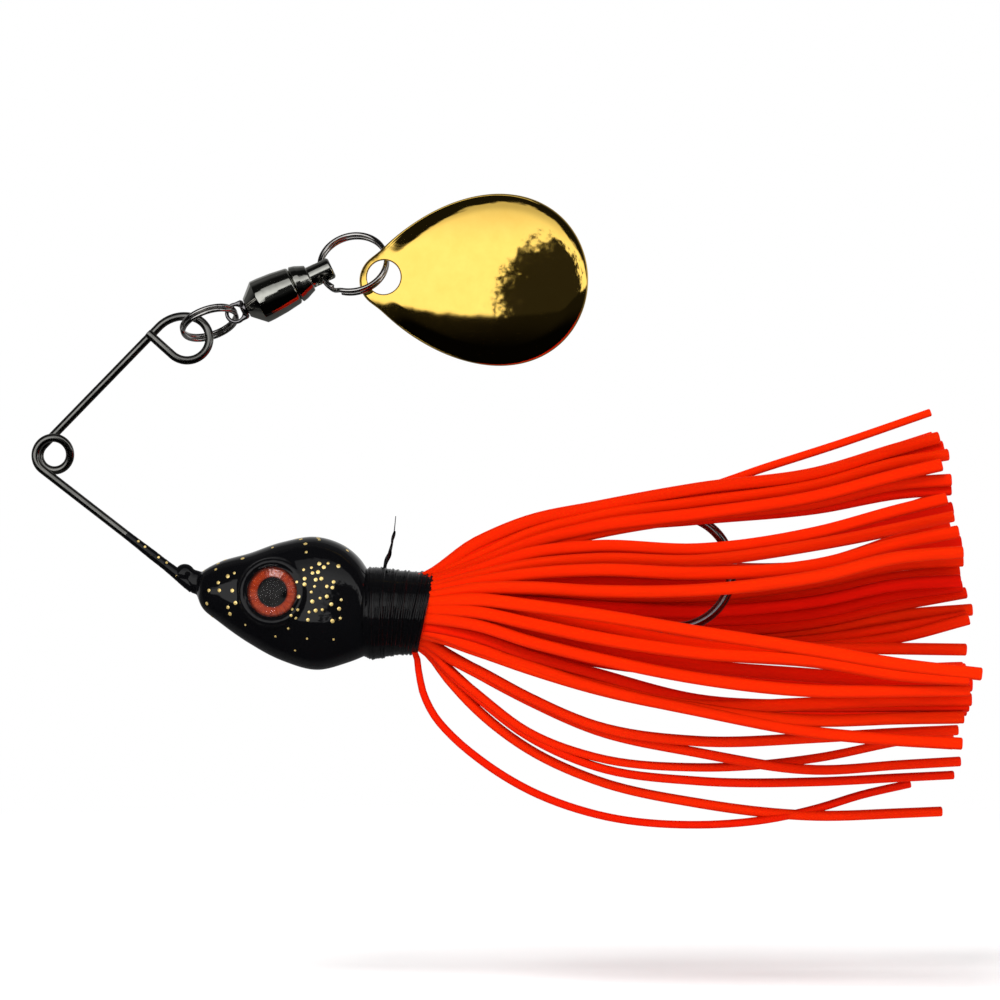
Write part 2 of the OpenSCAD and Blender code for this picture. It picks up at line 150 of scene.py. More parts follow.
def curve_through(points, step):
    """Smooth curve through the points, in pieces of about `step`."""
    p = np.array(points, float)
    gaps = np.linalg.norm(np.diff(p, axis=0), axis=1)
    slopes = np.diff(p, axis=0) / gaps[:, None]
    inner = slopes[:-1] * gaps[1:, None] + slopes[1:] * gaps[:-1, None]
    inner /= (gaps[:-1] + gaps[1:])[:, None]
    tangents = np.vstack([slopes[:1], inner, slopes[-1:]])
    out = []
    for i, gap in enumerate(gaps):
        n = max(1, round(gap / step))
        for k in range(n):
            u = k / n
            ease = u * u * (3 - 2 * u)
            pull = (u**3 - 2 * u**2 + u) * tangents[i] + (u**3 - u**2) * tangents[i + 1]
            out.append((1 - ease) * p[i] + ease * p[i + 1] + gap * pull)
    return np.array(out + [p[-1]])


def carried_frames(path, up):
    """Unit tangents of a path with a side and an up vector carried along without twist."""
    tangents = np.gradient(path, axis=0)
    tangents /= np.linalg.norm(tangents, axis=1)[:, None]
    ups = []
    current = np.asarray(up, float)
    for t in tangents:
        current = unit(current - (current @ t) * t)
        ups.append(current)
    ups = np.array(ups)
    return tangents, np.cross(tangents, ups), ups


def circle(first, second, angles):
    return np.outer(np.cos(angles), first) + np.outer(np.sin(angles), second)


def basis(normal, along):
    """Two unit vectors across `normal`, the first as near to `along` as it can be."""
    first = unit(along - (along @ normal) * normal)
    return first, np.cross(normal, first)


# ---- meshes ----


class Shape:
    """Collects parts of one mesh: points in mm, faces, UV per point and one tone per point."""

    def __init__(self):
        self.points, self.faces, self.uvs, self.tones = [], [], [], []

    def add(self, points, faces, uvs=None, tone=0.5):
        base = len(self.points)
        self.points += [tuple(p) for p in points]
        self.faces += [tuple(base + i for i in face) for face in faces]
        self.uvs += [tuple(uv) for uv in uvs] if uvs is not None else [(0, 0)] * len(points)
        self.tones += [tone] * len(points)

    def rings(self, rings, closed_path=False, us=None, tone=0.5):
        """Skin over equal rings of points, with a fan over each end."""
        n, m = len(rings[0]), len(rings)
        points = [p for ring in rings for p in ring]
        us = us if us is not None else range(m)
        uvs = [(u, abs(1 - 2 * k / n)) for u in us for k in range(n)]
        faces = []
        for i in range(m if closed_path else m - 1):
            j = (i + 1) % m
            for k in range(n):
                l = (k + 1) % n
                faces.append((i * n + k, i * n + l, j * n + l, j * n + k))
        if not closed_path:
            for ring, flip in ((0, True), (m - 1, False)):
                centre = len(points)
                points.append(np.mean(rings[ring], axis=0))
                uvs.append((us[ring], 0.5))
                for k in range(n):
                    a, b = ring * n + k, ring * n + (k + 1) % n
                    faces.append((b, a, centre) if flip else (a, b, centre))
        self.add(points, faces, uvs, tone)

    def tube(self, path, width, thick=None, sides=16, power=2.0, up=Z, twist=0.0,
             scale=None, round_ends=0.0, tone=0.5):
        """Sweeps a section along a path: an ellipse at power 2, squarer above it.

        `scale` gives the section's size at 0..1 of the length, `twist` is in degrees.
        """
        path = np.asarray(path, float)
        thick = width if thick is None else thick
        tangents, side, ups = carried_frames(path, up)
        lengths = np.concatenate([[0], np.cumsum(np.linalg.norm(np.diff(path, axis=0), axis=1))])
        share = lengths / lengths[-1]
        rings, us = [], []

        def ring(i, size, shift):
            a = np.arange(sides) * TAU / sides
            across = spow(np.cos(a), 2 / power) * width / 2 * size
            over = spow(np.sin(a), 2 / power) * thick / 2 * size
            turn = math.radians(twist) * share[i]
            s = math.cos(turn) * side[i] + math.sin(turn) * ups[i]
            n = math.cos(turn) * ups[i] - math.sin(turn) * side[i]
            rings.append(path[i] + shift * tangents[i] + np.outer(across, s) + np.outer(over, n))
            us.append(lengths[i] + shift)

        steps = 3
        end = len(path) - 1
        if round_ends:
            for k in range(steps):
                b = math.pi / 2 * (1 - k / steps)
                ring(0, 1 - round_ends * (1 - math.cos(b)), -round_ends * thick / 2 * math.sin(b))
        for i in range(len(path)):
            ring(i, scale(share[i]) if scale else 1.0, 0.0)
        if round_ends:
            last = scale(1.0) if scale else 1.0
            for k in range(1, steps + 1):
                b = math.pi / 2 * k / steps
                ring(end, last * (1 - round_ends * (1 - math.cos(b))),
                     round_ends * thick / 2 * math.sin(b))
        self.rings(rings, us=us, tone=tone)

    def lathe(self, profile, origin, axis, sides=96, along=Z):
        """Turns rows of (radius, distance along the axis) about the axis."""
        first, second = basis(axis, along)
        turn = circle(first, second, np.arange(sides) * TAU / sides)
        rings = [origin + t * axis + max(r, 1e-4) * turn for r, t in profile]
        self.rings(rings, us=[t for _, t in profile])

    def make(self, name, material, body, slot=None, replaces=(), sharp=40.0):
        """The finished object, riding on its body."""
        mesh = bpy.data.meshes.new(name)
        mesh.from_pydata([Vector(p) * MM for p in self.points], [], self.faces)
        layer = mesh.uv_layers.new(name="UVMap")
        for loop in mesh.loops:
            layer.data[loop.index].uv = self.uvs[loop.vertex_index]
        tone = mesh.attributes.new("tone", "FLOAT", "POINT")
        tone.data.foreach_set("value", self.tones)
        return finish_piece(name, mesh, material, body, replaces, sharp)


def finish_piece(name, mesh, material, body, replaces=(), sharp=40.0):
    """Shades a mesh, gives it its material, and makes it ride on its body."""
    tidy = bmesh.new()
    tidy.from_mesh(mesh)
    bmesh.ops.remove_doubles(tidy, verts=tidy.verts, dist=1e-7)
    bmesh.ops.recalc_face_normals(tidy, faces=tidy.faces)
    limit = math.radians(sharp)
    for edge in tidy.edges:
        edge.smooth = len(edge.link_faces) == 2 and edge.calc_face_angle(0) < limit
    for face in tidy.faces:
        face.smooth = True
    tidy.to_mesh(mesh)
    tidy.free()
    mesh.materials.clear()
    mesh.materials.append(material)
    piece = bpy.data.objects.new(name, mesh)
    bpy.context.scene.collection.objects.link(piece)
    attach(piece, body)
    if replaces:
        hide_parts(*replaces)
    return piece


def scratch_object(shape):
    """A shape as a bare object, for modifiers that make another mesh from it."""
    mesh = bpy.data.meshes.new("scratch")
    mesh.from_pydata([Vector(p) * MM for p in shape.points], [], shape.faces)
    tidy = bmesh.new()
    tidy.from_mesh(mesh)
    bmesh.ops.recalc_face_normals(tidy, faces=tidy.faces)
    tidy.to_mesh(mesh)
    tidy.free()
    made = bpy.data.objects.new("scratch", mesh)
    bpy.context.scene.collection.objects.link(made)
    return made


def baked(obj):
    """The object's mesh with its modifiers applied; the object itself goes."""
    graph = bpy.context.evaluated_depsgraph_get()
    mesh = bpy.data.meshes.new_from_object(obj.evaluated_get(graph))
    bpy.data.objects.remove(obj)
    return mesh


def drilled(block, cutters):
    """Takes the cutters' shapes out of a scratch object and returns the mesh that is left."""
    tools = [scratch_object(cutter) for cutter in cutters]
    for tool in tools:
        cut = block.modifiers.new("hole", "BOOLEAN")
        cut.object = tool
        cut.operation = "DIFFERENCE"
        cut.solver = "EXACT"
    mesh = baked(block)
    for tool in tools:
        bpy.data.objects.remove(tool)
    return mesh


def run_together(shape, voxel, rounds):
    """A scratch object in which the shape's overlapping parts become one smoothed skin."""
    block = scratch_object(shape)
    remesh = block.modifiers.new("join", "REMESH")
    remesh.mode = "VOXEL"
    remesh.voxel_size = voxel * MM
    remesh.use_smooth_shade = True
    smooth = block.modifiers.new("soften", "SMOOTH")
    smooth.factor = 0.5
    smooth.iterations = rounds
    return block


def fillet(profile, radius, steps=4):
    """Rounds the inner corners of a profile of (radius, distance) rows."""
    rows = [np.array(p, float) for p in profile]
    out = [rows[0]]
    for before, corner, after in zip(rows, rows[1:], rows[2:]):
        reach = min(radius, np.linalg.norm(before - corner) * 0.45,
                    np.linalg.norm(after - corner) * 0.45)
        start = corner + unit(before - corner) * reach
        end = corner + unit(after - corner) * reach
        for k in range(steps + 1):
            t = k / steps
            out.append((1 - t) ** 2 * start + 2 * t * (1 - t) * corner + t * t * end)
    return out + [rows[-1]]


# ---- materials ----


def put(socket, value):
    """Gives an input a number, a colour or another node's output."""
    if isinstance(value, (int, float)):
        socket.default_value = value
    elif isinstance(value, tuple):
        with_alpha = len(socket.default_value) > len(value)
        socket.default_value = (*value, 1) if with_alpha else value
    else:
        socket.id_data.links.new(value, socket)


class Graph:
    """A node tree with short calls for the nodes used here."""

    def __init__(self, owner):
        owner.use_nodes = True
        self.tree = owner.node_tree
        self.tree.nodes.clear()

    def link(self, a, b):
        self.tree.links.new(a, b)

    def node(self, kind, **values):
        made = self.tree.nodes.new("ShaderNode" + kind)
        for key, value in values.items():
            setattr(made, key, value)
        return made

    def noise(self, vector, scale, detail=3.0, rough=0.5):
        made = self.node("TexNoise")
        put(made.inputs["Scale"], scale)
        put(made.inputs["Detail"], detail)
        put(made.inputs["Roughness"], rough)
        self.link(vector, made.inputs["Vector"])
        return made.outputs["Fac"]

    def math(self, operation, *values):
        made = self.node("Math", operation=operation)
        for socket, value in zip(made.inputs, values):
            put(socket, value)
        return made.outputs[0]

    def times(self, a, b):
        return self.math("MULTIPLY", a, b)

    def plus(self, a, b):
        return self.math("ADD", a, b)

    def minus(self, a, b):
        return self.math("SUBTRACT", a, b)

    def split(self, vector):
        made = self.node("SeparateXYZ")
        self.link(vector, made.inputs[0])
        return made.outputs

    def length(self, vector):
        made = self.node("VectorMath", operation="LENGTH")
        self.link(vector, made.inputs[0])
        return made.outputs["Value"]

    def mix_shaders(self, factor, a, b):
        made = self.node("MixShader")
        for socket, value in zip(made.inputs, (factor, a, b)):
            self.link(value, socket)
        return made.outputs[0]


class Nodes(Graph):
    """A material round one main shader."""

    def __init__(self, name):
        self.material = bpy.data.materials.new(name)
        super().__init__(self.material)
        self.out = self.node("OutputMaterial")
        self.bsdf = self.node("BsdfPrincipled")
        self.link(self.bsdf.outputs[0], self.out.inputs["Surface"])

    def set(self, **values):
        """Sets inputs of the main shader; `coat_ior` stands for "Coat IOR"."""
        for key, value in values.items():
            put(self.bsdf.inputs[key.replace("_", " ").title().replace("Ior", "IOR")], value)

    def coordinates(self, kind="Object", scale=(1, 1, 1)):
        """Texture coordinates in millimetres for Object, or the UV of the mesh."""
        source = self.node("TexCoord")
        mapping = self.node("Mapping")
        size = 1 / MM if kind == "Object" else 1
        mapping.inputs["Scale"].default_value = [s * size for s in scale]
        self.link(source.outputs[kind], mapping.inputs["Vector"])
        return mapping.outputs["Vector"]

    def ramp(self, factor, stops):
        """Colour ramp over (place, colour or grey) stops."""
        made = self.node("ValToRGB")
        elements = made.color_ramp.elements
        while len(elements) < len(stops):
            elements.new(0.5)
        for element, (place, colour) in zip(elements, stops):
            element.position = place
            grey = isinstance(colour, (int, float))
            element.color = (colour, colour, colour, 1) if grey else (*colour, 1)
        self.link(factor, made.inputs["Fac"])
        return made.outputs["Color"]

    def mix(self, factor, a, b, blend="MIX"):
        made = self.node("Mix", data_type="RGBA", blend_type=blend)
        for socket, value in zip((made.inputs[0], made.inputs[6], made.inputs[7]), (factor, a, b)):
            put(socket, value)
        return made.outputs[2]

    def bump(self, height, strength, distance_mm, below=None):
        """Bump over another bump's normal, if one is given."""
        made = self.node("Bump")
        put(made.inputs["Strength"], strength)
        put(made.inputs["Distance"], distance_mm * MM)
        self.link(height, made.inputs["Height"])
        if below is not None:
            self.link(below, made.inputs["Normal"])
        return made.outputs["Normal"]

    def to(self, socket, name):
        self.link(socket, self.bsdf.inputs[name])

    def skin(self, color, roughness, normal):
        """Links the main shader's colour, roughness and normal."""
        self.to(color, "Base Color")
        self.to(roughness, "Roughness")
        self.to(normal, "Normal")


def drawn_wire_material():
    """Dark blued spring wire with fine draw lines along its length."""
    n = Nodes("spring_wire")
    lines = n.noise(n.coordinates("UV", (0.2, 9, 1)), 1.0, 2.0, 0.5)
    patches = n.noise(n.coordinates(), 0.45, 3.0)
    tone = n.ramp(patches, [(0.3, (0.16, 0.16, 0.15)), (0.7, (0.26, 0.255, 0.24))])
    streaks = n.ramp(lines, [(0.3, 0.8), (0.7, 1.0)])
    n.skin(n.mix(1.0, tone, streaks, "MULTIPLY"), n.ramp(lines, [(0.2, 0.17), (0.8, 0.25)]),
           n.bump(lines, 0.06, 0.01))
    n.set(metallic=1.0)
    return n.material


def black_nickel_material(name, tint, rough=0.08):
    """Bright dark plating with faint smudges and hairline marks."""
    n = Nodes(name)
    smudge = n.noise(n.coordinates(), 0.7, 4.0, 0.6)
    hair = n.noise(n.coordinates("Object", (1.2, 1.2, 4.0)), 1.0, 2.0, 0.5)
    light = tuple(min(1.0, c * 1.12) for c in tint)
    dark = tuple(c * 0.8 for c in tint)
    n.skin(n.ramp(smudge, [(0.3, dark), (0.7, light)]),
           n.ramp(smudge, [(0.25, rough * 0.7), (0.8, rough * 1.9)]), n.bump(hair, 0.08, 0.01))
    n.set(metallic=1.0)
    return n.material


def polished_gold_material():
    """Gold plate: a mirror with slight waves, soft haze and fine wiping marks."""
    n = Nodes("gold_plate")
    place = n.coordinates()
    waves = n.noise(place, 0.16, 2.0)
    wipes = n.noise(n.coordinates("Object", (0.5, 1.0, 6.0)), 1.0, 5.0, 0.7)
    haze = n.noise(place, 0.5, 5.0, 0.6)
    n.skin(n.ramp(haze, [(0.3, (0.93, 0.60, 0.12)), (0.7, (0.97, 0.65, 0.14))]),
           n.ramp(haze, [(0.3, 0.03), (0.75, 0.07)]),
           n.bump(wipes, 0.03, 0.01, n.bump(waves, 0.12, 0.12)))
    n.set(metallic=1.0)
    return n.material


def head_paint_material():
    """Gloss black paint under a wavy clear coat, with fine gold dust deep in it."""
    n = Nodes("head_paint")
    place = n.coordinates()
    dust = n.node("TexVoronoi", feature="F1")
    put(dust.inputs["Scale"], 1.15)
    n.link(place, dust.inputs["Vector"])
    speck = n.ramp(dust.outputs["Distance"], [(0.05, 1.0), (0.075, 0.0)])
    sparse = n.ramp(n.noise(place, 0.5, 1.0), [(0.5, 0.0), (0.6, 1.0)])
    amount = n.times(speck, sparse)
    n.to(n.mix(amount, (0.0025, 0.0025, 0.003), (0.12, 0.08, 0.02)), "Base Color")
    waves = n.noise(place, 0.32, 2.0, 0.45)
    peel = n.noise(place, 1.7, 2.0)
    n.to(n.bump(peel, 0.06, 0.02, n.bump(waves, 0.30, 0.16)), "Coat Normal")
    n.set(roughness=0.6, specular_ior_level=0.0, coat_weight=1.0, coat_roughness=0.02,
          coat_ior=1.34)
    return n.material


def glitter_material():
    """Gold flakes; a little light of their own keeps them bright in every pose."""
    n = Nodes("gold_glitter")
    grain = n.noise(n.coordinates(), 5.0, 2.0)
    n.to(n.ramp(grain, [(0.35, (0.95, 0.66, 0.2)), (0.65, (1.0, 0.86, 0.42))]), "Base Color")
    n.set(metallic=0.85, roughness=0.32,
          emission_color=(1.0, 0.7, 0.22), emission_strength=0.25)
    return n.material


def thread_material():
    """Black binding thread under varnish."""
    n = Nodes("varnished_thread")
    fibres = n.noise(n.coordinates("UV", (5.0, 9.0, 1)), 1.0, 3.0, 0.6)
    clumps = n.noise(n.coordinates(), 0.9, 3.0)
    n.skin(n.ramp(fibres, [(0.3, 0.0015), (0.8, (0.004, 0.004, 0.005))]),
           n.ramp(clumps, [(0.3, 0.18), (0.75, 0.34)]),
           n.bump(fibres, 0.12, 0.02, n.bump(clumps, 0.5, 0.12)))
    n.to(n.bump(clumps, 0.3, 0.08), "Coat Normal")
    n.set(coat_weight=1.0, coat_roughness=0.03, coat_ior=1.33, specular_ior_level=0.0)
    return n.material


def silicone_material():
    """Fluorescent orange-red silicone: matt, a little translucent, faintly streaked, with painted
    shade.
    """
    n = Nodes("silicone")
    streaks = n.noise(n.coordinates("UV", (0.12, 5.0, 1)), 1.0, 3.0, 0.55)
    # The tone attribute picks each strand's colour from dark red to orange: painted shade, dark red on
    # strands that lie in the shadow of others.
    tone = n.node("Attribute", attribute_name="tone")
    shade = n.ramp(tone.outputs["Fac"], [(0.0, (0.70, 0.003, 0.0)), (1.0, (0.86, 0.022, 0.0))])
    # Painted shade: the colour darkens towards both side edges of each strand, like the contact shadow
    # between neighbouring strands.
    around = n.split(n.node("TexCoord").outputs["UV"])[1]
    edge = n.math("ABSOLUTE", n.minus(n.times(around, 2.0), 1.0))
    sides = n.ramp(edge, [(0.15, 1.0), (0.7, 0.72)])
    streaked = n.ramp(streaks, [(0.3, 0.88), (0.7, 1.0)])
    n.to(n.mix(1.0, n.mix(1.0, shade, streaked, "MULTIPLY"), sides, "MULTIPLY"), "Base Color")
    grain = n.noise(n.coordinates(), 3.5, 3.0)
    n.to(n.ramp(grain, [(0.3, 0.5), (0.7, 0.62)]), "Roughness")
    n.to(n.bump(grain, 0.12, 0.02, n.bump(streaks, 0.3, 0.06)), "Normal")
    n.set(specular_ior_level=0.03, subsurface_weight=0.10, subsurface_radius=(1.0, 0.05, 0.0),
          subsurface_scale=0.5 * MM)
    return n.material


def iris_material(iris_share, pupil_share):
    """Printed foil: dark rim, streaked orange-red iris and a gloss black pupil.

    Its coat bends light as the dome above it does.
    """
    n = Nodes("iris_foil")
    place = n.node("TexCoord").outputs["UV"]
    across, up, _ = n.split(place)
    angle = n.math("ARCTAN2", up, across)
    radius = n.length(place)
    polar = n.node("CombineXYZ")
    n.link(n.times(n.math("SINE", angle), 9.0), polar.inputs[0])
    n.link(n.times(n.math("COSINE", angle), 9.0), polar.inputs[1])
    n.link(n.times(radius, 1.4), polar.inputs[2])
    streaks = n.noise(polar.outputs[0], 2.2, 4.0, 0.65)
    fire = n.ramp(streaks, [(0.3, (0.09, 0.005, 0.0)), (0.5, (0.20, 0.015, 0.001)),
                            (0.72, (0.34, 0.045, 0.004))])
    ring = n.ramp(radius, [(pupil_share - 0.01, 0.25), (pupil_share + 0.08, 1.0),
                           (iris_share - 0.1, 0.9), (iris_share, 0.22)])
    iris = n.mix(1.0, fire, ring, "MULTIPLY")
    inside = n.ramp(radius, [(pupil_share - 0.012, 1.0), (pupil_share + 0.012, 0.0)])
    n.to(n.mix(inside, iris, (0.002, 0.002, 0.002)), "Base Color")
    outside = n.minus(1.0, inside)
    n.to(n.times(outside, 0.55), "Metallic")
    n.to(n.bump(n.times(streaks, outside), 0.2, 0.03), "Normal")
    n.to(n.times(outside, 0.2), "Specular IOR Level")
    dome = n.minus(1.0, n.times(radius, radius))
    n.to(n.bump(dome, 1.0, 0.9), "Coat Normal")
    n.set(roughness=0.3, coat_weight=1.0, coat_roughness=0.03, coat_ior=1.28)
    return n.material


def clear_resin_material():
    """Clear domed resin that lets light through to the foil below it."""
    n = Nodes("clear_resin")
    ripple = n.noise(n.coordinates(), 0.5, 2.0)
    n.to(n.bump(ripple, 0.05, 0.05), "Normal")
    n.to(n.ramp(ripple, [(0.3, (0.97, 0.95, 0.93)), (0.7, (1.0, 1.0, 1.0))]), "Base Color")
    n.set(roughness=0.01, transmission_weight=1.0, ior=1.08)
    shadow = n.node("LightPath").outputs["Is Shadow Ray"]
    through = n.node("BsdfTransparent").outputs[0]
    n.link(n.mix_shaders(shadow, n.bsdf.outputs[0], through), n.out.inputs["Surface"])
    return n.material


spring_wire = drawn_wire_material()
ring_nickel = black_nickel_material("ring_nickel", (0.62, 0.60, 0.58), 0.1)
swivel_nickel = black_nickel_material("swivel_nickel", (0.46, 0.46, 0.42), 0.06)
post_nickel = black_nickel_material("post_nickel", (0.27, 0.26, 0.27), 0.1)
hook_nickel = black_nickel_material("hook_nickel", (0.2, 0.2, 0.21), 0.12)
ball_steel = black_nickel_material("ball_steel", (0.75, 0.75, 0.77), 0.05)
gold_plate = polished_gold_material()
head_paint = head_paint_material()
gold_glitter = glitter_material()
varnished_thread = thread_material()
silicone = silicone_material()
clear_resin = clear_resin_material()

# ---- wire frame ----

WIRE_D = 1.0
COIL_FRONT_R = 2.1
COIL_BACK_R = 1.75
WIRE_STEP = 1.06
UPPER_ARM_ANGLE = 45.8
LOWER_ARM_ANGLE = 37.8
LOWER_ARM_LEN = 24.7
EYE_R = 2.6
EYE_BLEND_R = 4.2
COIL_CLIMB_START = 94.0
EYE_CLIMB_START = 48.0
EYE_LEG = 3.8


def frame_wire_path():
    """Centre line of the wire, from inside the head to the cut end beside the eye."""
    coil_start = 270 - LOWER_ARM_ANGLE
    coil_end = 90 + UPPER_ARM_ANGLE
    back = Y * WIRE_STEP
    eye_centre = EYE_CENTRE + back
    shift = (COIL_FRONT_R - COIL_BACK_R) / 2
    lower_start = COIL_FRONT_R * xz(coil_start)
    upper_start = COIL_BACK_R * xz(coil_end) + back
    along, across = xz(UPPER_ARM_ANGLE), xz(UPPER_ARM_ANGLE - 90)
    offset = EYE_BLEND_R - (eye_centre - upper_start) @ across
    run = math.sqrt((EYE_BLEND_R - EYE_R) ** 2 - offset**2)
    blend_centre = eye_centre + offset * across - run * along
    blend_end = angle_of(eye_centre - blend_centre)
    leg_start = eye_centre + EYE_R * xz(EYE_CLIMB_START - 180) - back
    lower_end = lower_start + LOWER_ARM_LEN * xz(-LOWER_ARM_ANGLE)
    coil_mean = (COIL_FRONT_R + COIL_BACK_R) / 2
    path = list(curve_through([lower_end, lower_start], 0.8)[:-1])
    path += arc(np.zeros(3), COIL_FRONT_R, coil_start, coil_start - COIL_CLIMB_START)
    path += arc(shift * xz(COIL_CLIMB_START), coil_mean, COIL_CLIMB_START, 180, WIRE_STEP)[1:]
    path += arc(back, COIL_BACK_R, COIL_CLIMB_START - 180, COIL_CLIMB_START + 180 - coil_end)[1:]
    blend = arc(blend_centre, EYE_BLEND_R, coil_end, coil_end - blend_end)
    path += list(curve_through([path[-1], blend[0]], 0.8)[1:-1]) + blend
    path += arc(eye_centre, EYE_R, blend_end, blend_end - EYE_CLIMB_START)[1:]
    path += arc(eye_centre, EYE_R, EYE_CLIMB_START, 180, -WIRE_STEP)[1:]
    leg_end = leg_start + EYE_LEG * xz(EYE_CLIMB_START + 90)
    path += list(curve_through([path[-1], leg_end], 0.6)[1:])
    return np.array(path)


def lower_arm_at(x):
    """Point on the lower arm's centre line at x."""
    start = COIL_FRONT_R * xz(270 - LOWER_ARM_ANGLE)
    return start + (x - start[0]) / math.cos(math.radians(LOWER_ARM_ANGLE)) * xz(-LOWER_ARM_ANGLE)


def build_frame_wire():
    wire = Shape()
    wire.tube(frame_wire_path(), WIRE_D, sides=28, up=Y, round_ends=0.22)
    wire.make("frame_wire", spring_wire, LURE, "frame_wire", ("wire_frame",), sharp=60)


def build_wire_paint():
    """Paint that ran up the lower arm: it feathers out and thickens towards the head."""
    rng = random.Random(4)
    sleeve = Shape()
    stations = np.linspace(8.6, 16.6, 60)
    path = np.array([lower_arm_at(x) for x in stations])
    lumps = [rng.uniform(-0.02, 0.03) for _ in stations]

    def thickness(s):
        grown = 1.01 + 0.16 * smoothstep(s * 2.2) + 0.42 * smoothstep((s - 0.55) * 2.4)
        return grown + lumps[round(s * (len(lumps) - 1))] * (0.3 + s)

    sleeve.tube(path, WIRE_D, sides=24, up=Y, scale=thickness)
    sleeve.make("wire_paint", head_paint, LURE, "head_paint")


# ---- split rings ----

RING_GAP = 9.0


def split_ring_path(centre, normal, along, radius, wire, gap_at, bulge):
    """Two windings side by side; the wire crosses from one to the other at `gap_at`."""
    first, second = basis(normal, along)
    half = wire / 2 + 0.015
    points = []
    start, end = gap_at + RING_GAP, gap_at + 720 - RING_GAP
    cross = gap_at + 360
    for a in np.arange(start, end + 1e-6, 3.0):
        side = 2 * smoothstep((a - cross + RING_GAP) / (2 * RING_GAP)) - 1
        lift = bulge * math.exp(-(((a - cross) / 14) ** 2))
        b = math.radians(a)
        points.append(centre + (radius + lift) * (math.cos(b) * first + math.sin(b) * second)
                      + half * side * normal)
    return np.array(points)


def build_split_rings():
    rear = Shape()
    path = split_ring_path(REAR_RING_CENTRE, REAR_RING_NORMAL, xz(20), 3.3, 0.5, 168, 0.05)
    rear.tube(path, 0.5, sides=20, power=2.3, up=REAR_RING_NORMAL, round_ends=0.3)
    rear.make("rear_ring_wire", ring_nickel, "rear_split_ring", "ring_wire",
              ("rear_split_ring",), sharp=60)
    front = Shape()
    path = split_ring_path(FRONT_RING_CENTRE, FRONT_RING_NORMAL, xz(15), 4.0, 0.55, 230, 0.05)
    front.tube(path, 0.55, sides=20, power=2.3, up=FRONT_RING_NORMAL, round_ends=0.3)
    front.make("front_ring_wire", ring_nickel, "front_split_ring", "ring_wire",
               ("front_split_ring",), sharp=60)


# ---- swivel ----

BARREL_R = 2.65
CONE_T = 1.6
SEAM_T = 6.35
STEM_R = 1.3
STEM_END_T = 11.15
STEM_HOLE_T = 9.8
STEM_HOLE_R = 0.95
TAB_HOLE_T = -1.45
POST_HOLE_R = 0.8
POST_RIM_R = 1.27
POST_HALF_W = 1.2
POST_HALF_T = 0.44
POST_ROOT = 1.38
POST_CORNER_R = 1.66
CAVITY_R = 1.86
BORE_R = 0.71


def build_swivel():
    shell = Shape()
    outside = fillet([(BORE_R, 0.0), (1.15, 0.0), (BARREL_R, CONE_T), (BARREL_R, CONE_T + 0.9),
                      (BARREL_R - 0.12, CONE_T + 2.6), (BARREL_R - 0.38, SEAM_T - 0.25),
                      (BARREL_R - 0.55, SEAM_T - 0.06), (CAVITY_R, SEAM_T - 0.06)], 0.09)
    inside = [(CAVITY_R, 1.8), (BORE_R, 1.8), (BORE_R, 0.0)]
    shell.lathe(outside + inside, SWIVEL_START, SWIVEL_AXIS, 128)
    shell.make("barrel_shell", swivel_nickel, "swivel_barrel", "swivel", ("swivel_shell",), sharp=28)

    shoulder = BARREL_R - 0.42
    neck = Shape()
    profile = fillet([(1e-3, 3.75), (CAVITY_R - 0.01, 3.75), (CAVITY_R - 0.01, SEAM_T),
                      (shoulder - 0.15, SEAM_T), (shoulder, SEAM_T + 0.15),
                      (shoulder - 0.14, SEAM_T + 0.75), (shoulder - 0.4, SEAM_T + 1.35),
                      (1.6, 8.25), (STEM_R, 8.3), (STEM_R, STEM_END_T - 0.2),
                      (STEM_R - 0.2, STEM_END_T), (1e-3, STEM_END_T)], 0.09)
    neck.lathe(profile, SWIVEL_START, SWIVEL_AXIS, 128)
    ring_way = FRONT_RING_NORMAL - (FRONT_RING_NORMAL @ SWIVEL_AXIS) * SWIVEL_AXIS
    hole_axis = np.cross(SWIVEL_AXIS, unit(ring_way))
    hole = Shape()
    flare = [(STEM_HOLE_R + 0.45, -1.6), (STEM_HOLE_R + 0.1, -1.0), (STEM_HOLE_R, -0.8),
             (STEM_HOLE_R, 0.8), (STEM_HOLE_R + 0.1, 1.0), (STEM_HOLE_R + 0.45, 1.6)]
    hole.lathe(flare, SWIVEL_START + STEM_HOLE_T * SWIVEL_AXIS, hole_axis, 64, SWIVEL_AXIS)
    mesh = drilled(scratch_object(neck), [hole])
    finish_piece("barrel_neck", mesh, swivel_nickel, "swivel_barrel",
                 ("swivel_neck",), sharp=28)


